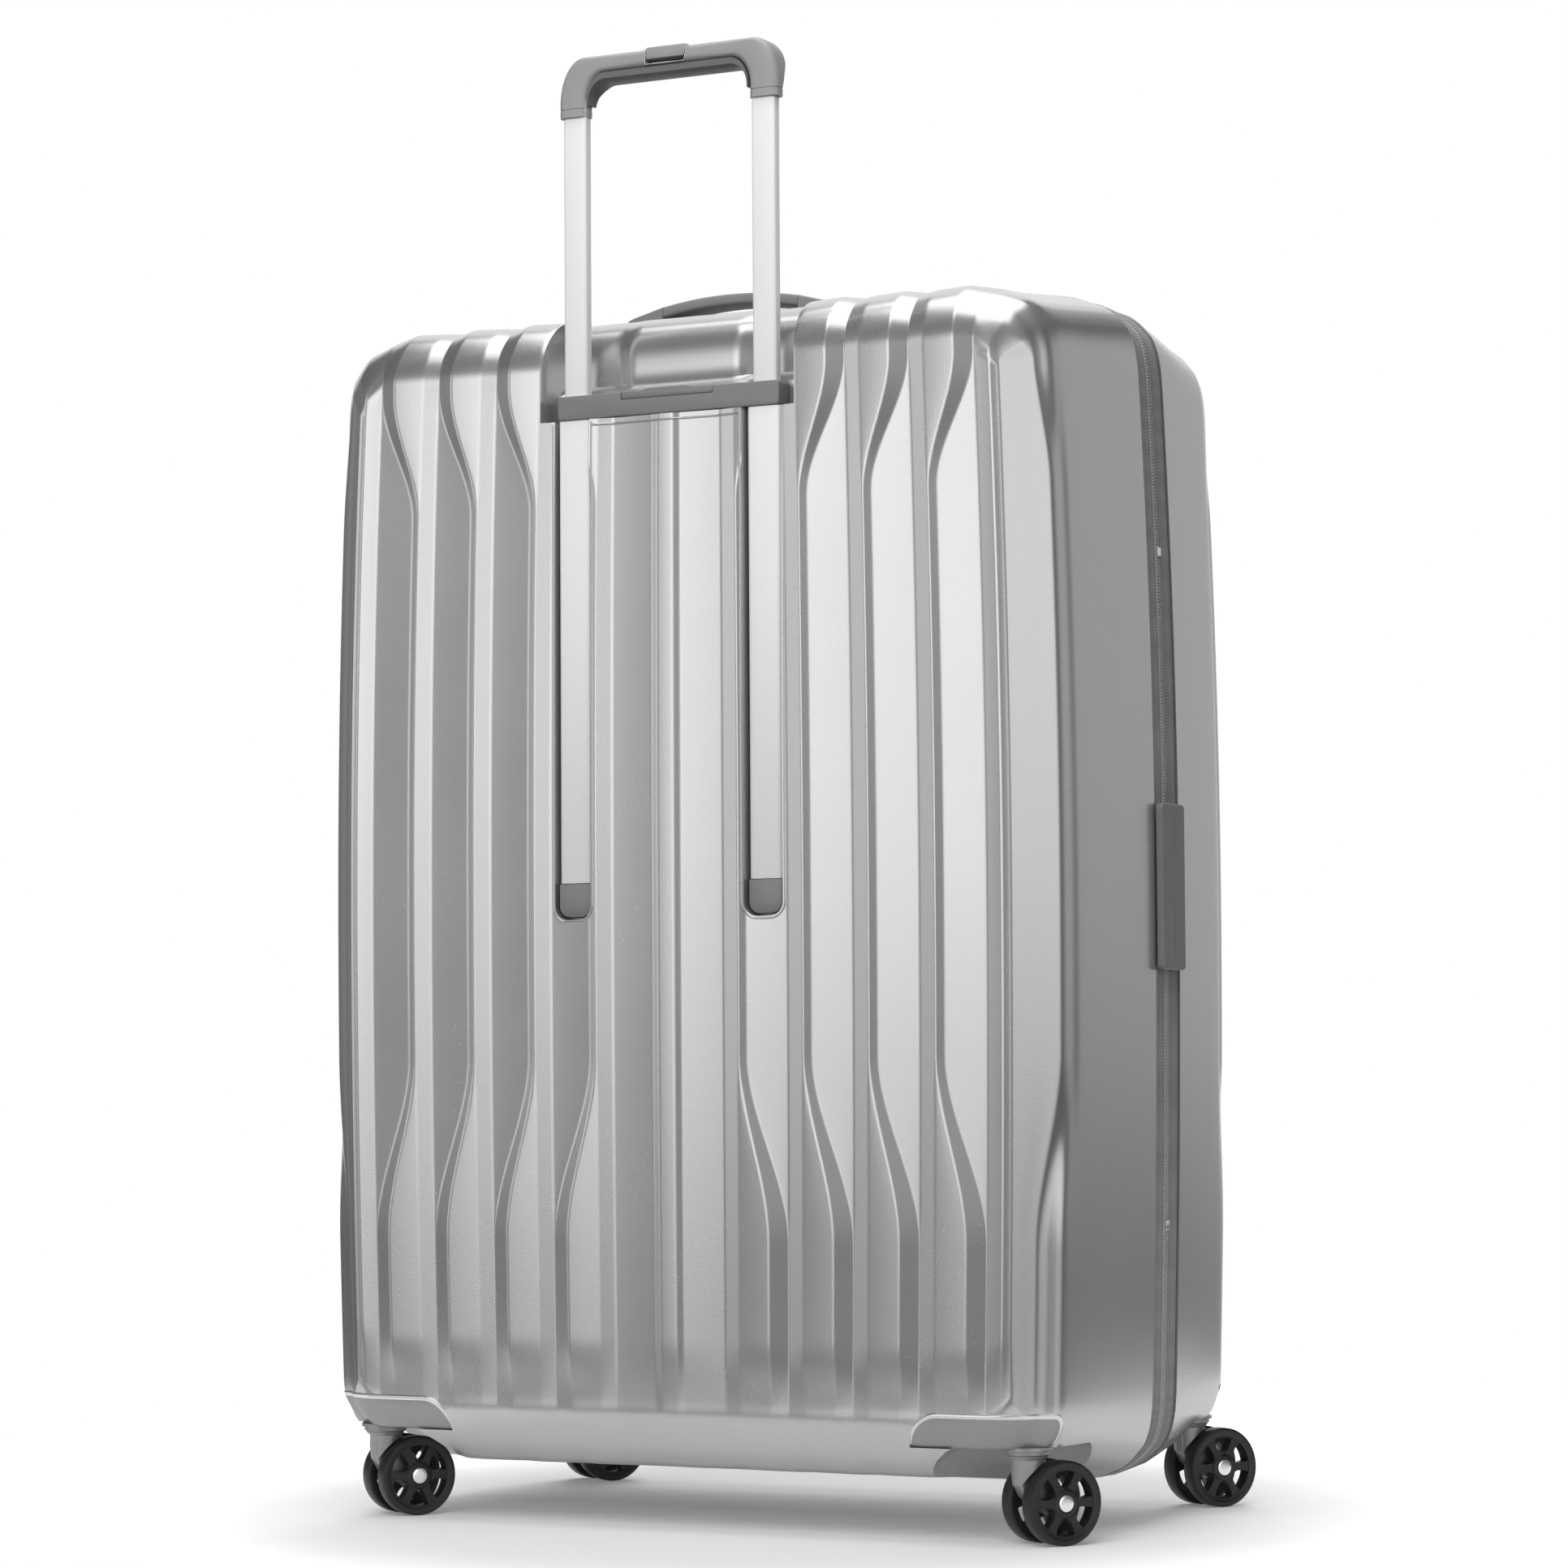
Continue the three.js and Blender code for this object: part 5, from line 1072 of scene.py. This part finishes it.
def plate_yz(name, points, x0, x1):
    """A plate between two places across, from its outline in Y and Z."""
    return lofted(name, [[(x, y, z) for y, z in points] for x in (x0, x1)])


def coil_x(z):
    """Where the teeth's outer side runs on the straight sides, at a height."""
    return float(barrel(CASE_HALF - 0.35, 0.0, z)[0])


for height, end in ((620.7, "upper"), (190.7, "lower")):
    shape = rounded(ZIP_PLANE - 2.6, height - 3.1, ZIP_PLANE + 2.6, height + 3.1, 1.4)
    clip = plate_yz("zip_clip_" + end, shape, coil_x(height) - 1.2, coil_x(height) + 0.9)
    dress(soften(clip, 0.5, 3), "case", BRIGHT, "zip_stop_" + end)

STRAP_BACK, STRAP_WIDE, STRAP_LONG = -16.5, 37.5, 106.0
STRAP_X0, STRAP_X1, STRAP_CORNER, STRAP_EDGE = 272.8, 277.5, 4, 1.3
STRAP_MIDDLE, STRAP_FOOT = STRAP_BACK + STRAP_WIDE / 2, SIDE_Z - STRAP_LONG / 2
GROOVE, CREASE, CREASES = 2.9, 0.35, (0.07, 0.37, 0.62, 0.92)


def strap_section(along):
    """One section of the side handle's strap at a distance from its lower end."""
    near_end = min(along, STRAP_LONG - along)
    draw, thin = [r - math.sqrt(max(0, r * r - max(0, r - near_end) ** 2)) for r in (STRAP_CORNER, STRAP_EDGE)]
    half = STRAP_WIDE / 2 - draw
    share = along / STRAP_LONG
    creased = 1.0 if CREASES[0] < share < CREASES[1] or CREASES[2] < share < CREASES[3] else 0.0
    x0, x1, r = STRAP_X0 + thin * 0.3, STRAP_X1 - thin, 1.25
    points = [(x0, -half + 0.6), (x0 + 0.6, -half)]
    points += [(x1 - r + r * math.sin(a), -half + r - r * math.cos(a)) for a in np.radians((0, 30, 60, 90))]
    groove = STRAP_WIDE / 2 - GROOVE
    beside = (0.3, 0.9, 9, groove - 0.5, groove, groove + 0.5)
    for v in (*(-v for v in reversed(beside)), *beside):
        in_groove = 0.28 if abs(abs(v) - groove) < 0.1 else 0.0
        in_crease = CREASE * creased if abs(v) < 0.5 else 0.0
        v = math.copysign(min(abs(v), half - r - 0.05), v)
        points.append((x1 - in_groove - in_crease, v))
    points += [(x1 - r + r * math.sin(a), half - r + r * math.cos(a)) for a in np.radians((90, 60, 30, 0))]
    points += [(x0 + 0.6, half), (x0, half - 0.6)]
    return [(x, STRAP_MIDDLE + v, STRAP_FOOT + along) for x, v in points]


near = STRAP_CORNER * np.linspace(0.004, 1, 12) ** 1.8
marks = [share * STRAP_LONG + step for share in CREASES for step in (-0.5, 0.5)]
stations = np.sort(np.concatenate([near, STRAP_LONG - near, marks, np.arange(9, 99, 6.0)]))
strap = lofted("side_strap", [strap_section(float(along)) for along in stations])
dress(smooth(strap, 40), "case", HANDLE, "side_handle")


def stitch_row(name, places, long, thick=0.45, high=0.32):
    """A row of upright stitches as short rounded bars, from the places of their middles."""
    bars = []
    for x, y, z in places:
        sections = []
        for t, size in ((-0.5, 0.25), (-0.38, 0.9), (0.38, 0.9), (0.5, 0.25)):
            ring = []
            for a in np.linspace(0, 2 * math.pi, 7)[:-1]:
                across, up = thick * size * math.cos(a), high * size * math.sin(a)
                ring.append((x + up, y + across, z + t * long))
            sections.append(ring)
        bars.append(lofted("stitch", sections))
    return joined(name, *bars)


STITCH_PITCH, STITCH_LONG = 3.7, 2.7
rows = [(STRAP_X1 - 0.2, STRAP_MIDDLE + side * (STRAP_WIDE / 2 - GROOVE), STRAP_FOOT + along)
        for side in SIDES for along in np.arange(5.5, 101, STITCH_PITCH)]
dress(smooth(stitch_row("side_strap_stitches", rows, STITCH_LONG), 60), "case", THREAD)


def top_section(x, half, low, high, r):
    """A rounded section of the top handle across its width."""
    return [(x, STRAP_Y + v, low + w) for v, w in rounded(-half, 0, half, high - low, r, 5)]


top_strap = []
for t in np.linspace(-1, 1, 37):
    low, high = SEAT_Z + 10 - 4.9 * t * t, SEAT_Z + 17 - 4.66 * t * t
    top_strap.append(top_section(t * 49.7, TOP_HALF, low, high, 2.4))
dress(smooth(lofted("top_strap", top_strap), 40), "case", HANDLE, "top_handle")
FOOT_X, FOOT_TOP = (50, 57, 64, 70, 75, 79, 80), (793.5, 791.7, 789.8, 788.3, 786.8, 785, 783.4)
for side, hand in HANDS:
    foot = []
    for x in np.r_[50, 52, 55, 59, 64, 69, 73, 80 - 7 * np.linspace(0.95, 0.004, 10) ** 1.6]:
        half = TOP_HALF - (7 - math.sqrt(max(0.1, 49 - max(0, x - 73) ** 2)))
        high = float(np.interp(x, FOOT_X, FOOT_TOP))
        foot.append(top_section(side * x, half, SEAT_Z, high, min(2.0, (high - SEAT_Z) / 2 - 0.1)))
    piece = in_edit(lofted("top_foot_" + hand, foot), outwards)
    dress(smooth(piece, 40), "case", GREY, "top_handle_foot_" + hand)

# ------------------------------------------------------------------ beads on the face

FACE = tree_of(back)


def on_face(x, z):
    """The place on the back case's face at a place across and a height."""
    return FACE.ray_cast(Vector((x, -300, z)) * MM, Vector((0, 1, 0)))[0] / MM


def bead(name, path, wide=1.5, high=0.45):
    """A low rounded bead that follows the face along a path of places across and heights."""
    path = np.array(path, float)
    ahead = np.gradient(path, axis=0)
    ahead /= np.linalg.norm(ahead, axis=1)[:, None]
    sections = []
    for (x, z), (dx, dz) in zip(path, ahead):
        y = on_face(x, z).y
        sections.append([(x + dz * u * wide / 2, y + 0.25 - high * v, z - dx * u * wide / 2)
                         for u, v in ((-1, 0), (-0.8, 1), (-0.3, 1.55), (0.3, 1.55), (0.8, 1), (1, 0))])
    return lofted(name, sections)


BEAD_EDGE, PANEL_BEAD_Z = 1.5, 704.5
x0, x1 = CHANNEL_IN - BEAD_EDGE, CHANNEL_OUT + BEAD_EDGE
low, r = CHANNEL_BOTTOM - BEAD_EDGE, CHANNEL_ROUND + BEAD_EDGE
rise = np.linspace(BRACKET_BOTTOM - 2, low + r + 4, 60)
path = [*((x1, z) for z in rise), *arc(x1 - r, low + r, r, 0, -90, 12), *arc(x0 + r, low + r, r, -90, -180, 12),
        *((x0, z) for z in rise[::-1])]
for side, hand in HANDS:
    border = bead("channel_bead_" + hand, [(side * x, z) for x, z in path])
    dress(smooth(border, 60), "case", SILVER)
across = [(x, PANEL_BEAD_Z) for x in np.linspace(-CHANNEL_IN + 2.4, CHANNEL_IN - 2.4, 90)]
dress(smooth(bead("panel_bead", across, 1.8, 0.5), 60), "case", SILVER)

# ------------------------------------------------------------------ lock and zip sliders

LOCK_FACE, LOCK_STEP = -275.6, -273.5
DIAL_X, DIAL_Y, DIAL_R, DIAL_HALF, DIAL_PITCH = -269.8, -38.0, 7.0, 2.5, 7.6
DIAL_HEIGHTS = [SIDE_Z + 8 + i * DIAL_PITCH for i in (-1, 0, 1)]
BUTTON_Z, BUTTON_HALF, ROOM = SIDE_Z - LOCK_HALF + 12, 5, 0.3
SLIDER_TOP, SLIDER_BASE, TAB_X = -275.7, -270.7, -277.0

plate = plate_yz("lock_plate", rounded(LOCK_BACK, SIDE_Z - LOCK_HALF, LOCK_EDGE, SIDE_Z + LOCK_HALF, 3, 8),
                 LOCK_FACE, LOCK_FLOOR)
soften(plate, 0.8, 3)
windows = [pocket(LOCK_FACE - 1, DIAL_Y - DIAL_R - ROOM, z - DIAL_HALF - ROOM, DIAL_X + DIAL_R + ROOM,
                  DIAL_Y + DIAL_R + ROOM, z + DIAL_HALF + ROOM) for z in DIAL_HEIGHTS]
step = pocket(LOCK_FACE - 1, LOCK_EDGE - 10.8, SIDE_Z - LOCK_HALF - 1, LOCK_STEP, LOCK_EDGE + 1,
              SIDE_Z + LOCK_HALF + 1)
wide = BUTTON_HALF + ROOM
button_room = pocket(LOCK_FACE - 1, DIAL_Y - wide, BUTTON_Z - wide, LOCK_FACE + 6.3, DIAL_Y + wide,
                     BUTTON_Z + wide)
dress(smooth(combine(plate, step, button_room, *windows), 40), "case", GREY, "lock_housing")

shape = rounded(DIAL_Y - BUTTON_HALF, BUTTON_Z - BUTTON_HALF, DIAL_Y + BUTTON_HALF, BUTTON_Z + BUTTON_HALF, 2, 6)
button = plate_yz("lock_push", shape, LOCK_FACE - 0.6, LOCK_FACE + 3.6)
dress(soften(button, 0.6, 3), "lock_release", STEEL, "lock_button")
profile = both_ends([(0, 3.6), (1.6, 3.6), (1.6, DIAL_HALF), (6.1, DIAL_HALF), (DIAL_R, 1.9)])
for number, z in enumerate(DIAL_HEIGHTS, 1):
    wheel_piece = turned(f"number_wheel_{number}", [(r, z + h) for r, h in profile], 10, DIAL_X, DIAL_Y)
    dress(soften(wheel_piece, 0.35, 2, 20), f"dial_{number}_body", BLACK, f"dial_{number}")

for end, z0 in (("upper", SIDE_Z + 0.3), ("lower", SIDE_Z - 10.9)):
    shape = rounded(ZIP_PLANE - 6, z0, ZIP_PLANE + 6, z0 + 10.6, 2.2, 6)
    body = soften(plate_yz("slider_" + end, shape, SLIDER_TOP, SLIDER_BASE), 1.0, 3)
    for low in (z0 + 0.4, z0 + 8.3):
        shape = rounded(ZIP_PLANE - 2, low, ZIP_PLANE + 2, low + 1.9, 0.3, 3)
        combine(body, soften(plate_yz("lug", shape, TAB_X - 1.2, SLIDER_TOP + 1), 0.35), operation="UNION")
    dress(smooth(body, 40), f"zip_slider_{end}_body", STEEL, "zip_slider_" + end)
    outer, inner, tip = TAB_X - 0.8, TAB_X + 0.8, ZIP_PLANE - 28
    shape = [(outer, tip), (LOCK_STEP - 0.7, tip), (LOCK_STEP - 0.7, tip + 3.4), (inner, tip + 3.4),
             (inner, ZIP_PLANE + 0.8), (outer, ZIP_PLANE + 0.8)]
    pull = lofted("pull_" + end, [flat_xy(shape, z0 + 2.6), flat_xy(shape, z0 + 8.0)])
    dress(soften(pull, 0.35, 3), f"pull_tab_{end}_body", STEEL, "pull_tab_" + end)

# ------------------------------------------------------------------ hinge cloth

SPINE_X, SPINE_FROM, SPINE_TO, SPINE_LOW, SPINE_TOP, SPINE_THICK = 268.0, -24.0, 19.4, 150, 666, 0.7
spine = []
for z in np.linspace(SPINE_LOW, SPINE_TOP, 44):
    edge = float(barrel(SPINE_X, 0.0, z)[0])
    section = [(edge - 0.4, y, z) for y in np.linspace(SPINE_FROM, SPINE_TO, 41)]
    spine.append(section + [(x - SPINE_THICK, y, z) for x, y, z in section[::-1]])
cloth = smooth(lofted("hinge_cloth", spine), 60)
cloth.data.materials.clear()
cloth.data.materials.append(LINING)
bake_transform(cloth)

# ------------------------------------------------------------------ casters


def ring(name, profile, segments):
    """A ring about +Z with a closed (radius, height) section."""
    sections = []
    for a in np.linspace(0, 2 * math.pi, segments + 1)[:-1]:
        sections.append([(r * math.cos(a), r * math.sin(a), h) for r, h in profile])
    return lofted(name, sections, wrap=True)


def laid(thing, turn=None, shift=(0, 0, 0)):
    """Turns and moves a piece, in millimetres, and leaves it at the origin."""
    alone(thing)
    if turn:
        thing.rotation_euler = turn
    thing.location = [v * MM for v in shift]
    bpy.ops.object.transform_apply(location=True, rotation=True, scale=True)
    return thing


def twin(thing, name):
    """A copy with a mesh of its own."""
    copy = thing.copy()
    copy.data = thing.data.copy()
    bpy.context.scene.collection.objects.link(copy)
    copy.name = copy.data.name = name
    return copy


WHEEL_R, AXLE_Z, WHEEL_OFF, BORE = 26, 26, 11.5, 3.3
SPOKES, SPOKE_IN, SPOKE_OUT, SPOKE_HALF, SPOKE_HIGH = 6, 8.2, 20.4, 2.9, 4.3
QUARTER = math.radians(90)


def wheel():
    """A wheel: a square-shouldered tread, and six spokes that flare into the rim."""
    shoulder = [(21.0, 4.6), (22.6, 5.2), (23.4, 5.5), (24.1, 5.35), (24.4, 5.45), (25.5, 5.1), (WHEEL_R, 4.4)]
    tyre = ring("tyre", both_ends(shoulder) + [(20.6, 0)], 96)
    rim = ring("rim", both_ends([(19.7, 3.6), (20.1, 4.6), (21.2, 4.8)], [(21.4, 0)]) + [(19.6, 0)], 96)
    hub = ring("hub", both_ends([(BORE, 3.9), (5.6, 3.9), (5.7, 5.2), (6.2, 5.5), (7.6, 5.3), (9.0, 4.4),
                                 (9.5, 3.4)]), 48)
    spokes = []
    for n in range(SPOKES):
        edge = []
        for t in np.linspace(0, 1, 19):
            flare = 1.9 * max(0, (t - 0.5) / 0.5) ** 2 + 1.5 * max(0, (0.35 - t) / 0.35) ** 2
            edge.append((mix(SPOKE_IN, SPOKE_OUT, t), SPOKE_HALF + flare))
        points = edge + [(r, -w) for r, w in reversed(edge)]
        high = [(r, w * 0.86, SPOKE_HIGH - 0.7 * math.sin(math.pi * (r - SPOKE_IN) / (SPOKE_OUT - SPOKE_IN)))
                for r, w in points]
        low = [(r, w, -h) for r, w, h in high]
        spoke = lofted("spoke", [low, [(r, w, 0.0) for r, w in points], high])
        spokes.append(laid(spoke, (0, 0, math.radians(360 / SPOKES * n) + QUARTER)))
    whole = combine(tyre, rim, hub, *spokes, operation="UNION")
    return smooth(laid(whole, (0, QUARTER, 0)), 38)


def across_the_fork(name, r, half, segments):
    """A round bar on the wheels' axis."""
    bar = turned(name, [(0, -half), (r, -half), (r, half), (0, half)], segments)
    return laid(bar, (0, QUARTER, 0), (0, TRAIL, AXLE_Z))


def fork_piece():
    """The fork: a turned neck, scooped clear of the wheels, and one leg to the axle between them."""
    neck = turned("fork", [(0, 36.8), (9.4, 36.8), (9.7, 44), (10, 50), (10.6, 52.6), (12.2, 54.0),
                           (12.6, 54.8), (4, 54.8), (4, 59.9), (0, 59.9)], 48)
    combine(neck, across_the_fork("sweep", WHEEL_R + 1.3, 22, 96))
    outline_yz = [(9.3, 54.0), (-9.3, 54.0), (-9.5, 46), (-8.6, 38), (-4.5, 30), (4, 22.5),
                  *arc(TRAIL, AXLE_Z, 8.5, -140, 40, 25), (20, 38), (13, 45)]
    leg = plate_yz("leg", outline_yz, -5.2, 5.2)
    apply(leg, "BEVEL", width=1.2 * MM, segments=3, limit_method="ANGLE", angle_limit=math.radians(60))
    combine(neck, leg, operation="UNION")
    return smooth(combine(neck, across_the_fork("bore", BORE, 20, 24)), 34)


def plate_piece():
    """The plate that the fork turns under, with its collar."""
    section = [(4.3, 55.1), (12.9, 55.1), (13.8, 55.9), (13.8, 57.4), (14.4, 58.3), (15.6, 58.3), (15.6, 60.3),
               (4.3, 60.3)]
    return smooth(ring("plate", section, 64), 30)


def axle_piece():
    """The axle, with a plain domed cap let into the hub at each end."""
    cap = [(0, 17.3), (3.0, 17.28), (4.6, 17.2), (5.1, 17.0), (5.35, 16.6), (5.4, 15.8), (3, 15.7)]
    return smooth(laid(turned("axle", both_ends(cap), 48), (0, QUARTER, 0)), 30)


masters = wheel_master, fork_master, plate_master, axle_master = wheel(), fork_piece(), plate_piece(), axle_piece()
turn = math.radians(TURN)
across_way, trail_way = Vector((math.cos(turn), math.sin(turn), 0)), Vector((-math.sin(turn), math.cos(turn), 0))
for fy, face, owner in ((-1, "back", "case"), (1, "front", "lid")):
    for fx, hand in HANDS:
        corner = f"{face}_{hand}"
        at = Vector((fx * CASTER_X, fy * CASTER_Y, 0))
        centre = at + TRAIL * trail_way + Vector((0, 0, AXLE_Z))
        for offset, place in ((WHEEL_OFF, "outer"), (-WHEEL_OFF, "inner")):
            roller = twin(wheel_master, f"roller_{corner}_{place}")
            laid(roller, (0, 0, turn), centre + offset * across_way)
            dress(roller, f"wheel_{corner}_{place}_body", BLACK, f"wheel_{corner}_{place}")
        fork = laid(twin(fork_master, "swivel_fork_" + corner), (0, 0, turn), at)
        dress(fork, "caster_" + corner, GUARD, "fork_" + corner)
        plate = laid(twin(plate_master, "swivel_plate_" + corner), None, at)
        dress(plate, owner, GUARD, "caster_plate_" + corner)
        axle = laid(twin(axle_master, "swivel_axle_" + corner), (0, 0, turn), centre)
        dress(axle, "caster_" + corner, BRIGHT, "axle_" + corner)
for master in masters:
    bpy.data.objects.remove(master)

# ------------------------------------------------------------------ studio


AIM = Vector((0, 0, 0.45))
FLOOR_SIZE, FLOOR_PLACE = (1.5, 1.6, 1), (-0.1, 0.36, 0)
FLOOR_NEAR, FLOOR_FAR, NEAR_GLOW, GLOSS_GLOW = 0.3, 0.66, 0.14, 0.12


def softbox(name, azimuth, elevation, distance, size, power, mirrored_by_gloss=True):
    """A large area lamp at a bearing from -Y towards +X, aimed at the case."""
    a, e = math.radians(azimuth), math.radians(elevation)
    place = AIM + distance * Vector((math.sin(a) * math.cos(e), -math.cos(a) * math.cos(e), math.sin(e)))
    data = bpy.data.lights.new(name, "AREA")
    data.shape = "RECTANGLE"
    data.size, data.size_y = size
    data.energy = power
    lamp = bpy.data.objects.new(name, data)
    bpy.context.scene.collection.objects.link(lamp)
    lamp.location = place
    lamp.rotation_euler = (AIM - place).to_track_quat("-Z", "Y").to_euler()
    lamp.visible_glossy = mirrored_by_gloss


def seen_rays(maker):
    """1 for rays straight from the camera or through glass, and 1 for mirrored ones."""
    path = maker.tree.nodes.new("ShaderNodeLightPath")
    camera, gloss, through = [Wire(maker.tree, path.outputs[f"Is {kind} Ray"])
                              for kind in ("Camera", "Glossy", "Transmission")]
    return camera.most(through), gloss


def smooth_step(maker, value, start, end, low, high):
    return maker.node("ShaderNodeMapRange", {"interpolation_type": "SMOOTHSTEP"}, Value=value,
                      From_Min=float(start), From_Max=float(end), To_Min=float(low), To_Max=float(high))


def room():
    """World: white straight on. Mirrored and as light, white behind and a grey room with pale bays in front."""
    world = bpy.data.worlds.new("studio")
    bpy.context.scene.world = world
    world.use_nodes = True
    make = Maker(world.node_tree)
    x, y, z = make.axes(make.node("ShaderNodeTexCoord", out="Generated"))
    bearing = x._math("ARCTAN2", -1 * y) * (180 / math.pi)

    def bay(centre, flat, edge):
        """A pale bay of the room: 1 within flat degrees of its centre, 0 past the edge."""
        return smooth_step(make, (bearing - centre).size(), flat, edge, 1, 0)

    behind = bay(-153, 18, 32)
    front = (0.14 + bay(-52, 4, 10) * 1.3 + bay(-18, 8, 15) * 1.85 + bay(14, 6, 16) * 0.25
             + bay(58, 12, 32) * 1.2 + (1 - bay(0, 110, 140)) * 0.4)
    front = front * smooth_step(make, z, -0.11, 0.02, 0.08, 1) * smooth_step(make, z, 0.3, 0.46, 1, 0.12)
    straight, _ = seen_rays(make)
    level = straight.most(behind.most(front))
    make.tree.links.new(level.socket, make.tree.nodes["Background"].inputs["Strength"])
    make.tree.nodes["Background"].inputs["Color"].default_value = (1, 1, 1, 1)


def paint_floor(floor):
    """Pale paint that turns into the white backdrop away from the object."""
    paint = Finish("floor_paint", Roughness=0.9, Base_Color=(0.8, 0.8, 0.8, 1), Specular_IOR_Level=0.1)
    link = paint.tree.links.new
    glow = paint.tree.nodes.new("ShaderNodeEmission")
    add = paint.tree.nodes.new("ShaderNodeAddShader")
    x, y, z = paint.axes(paint.place)
    far = smooth_step(paint, (x * x + y * y) ** 0.5, FLOOR_NEAR, FLOOR_FAR, NEAR_GLOW, 1)
    straight, gloss = seen_rays(paint)
    link((straight * far).most(gloss * GLOSS_GLOW).socket, glow.inputs["Strength"])
    link(paint.shader.outputs[0], add.inputs[0])
    link(glow.outputs[0], add.inputs[1])
    link(add.outputs[0], paint.tree.nodes["Material Output"].inputs[0])
    floor.data.materials.append(paint.material)


def studio():
    softbox("overhead", 20, 84, 2.6, (2.5, 2.5), 44)
    softbox("fill", 12, 34, 3.0, (2.2, 1.6), 46, mirrored_by_gloss=False)
    softbox("back_fill", 192, 32, 3.0, (2.2, 1.6), 34, mirrored_by_gloss=False)
    room()
    bpy.ops.object.select_all(action="DESELECT")
    bpy.ops.mesh.primitive_plane_add(size=1)
    floor = bpy.context.object
    floor.name = "floor"
    floor.scale, floor.location = FLOOR_SIZE, FLOOR_PLACE
    alone(floor)
    bpy.ops.object.transform_apply(location=True, rotation=True, scale=True)
    paint_floor(floor)
    bpy.context.scene.view_settings.view_transform = "Standard"


studio()
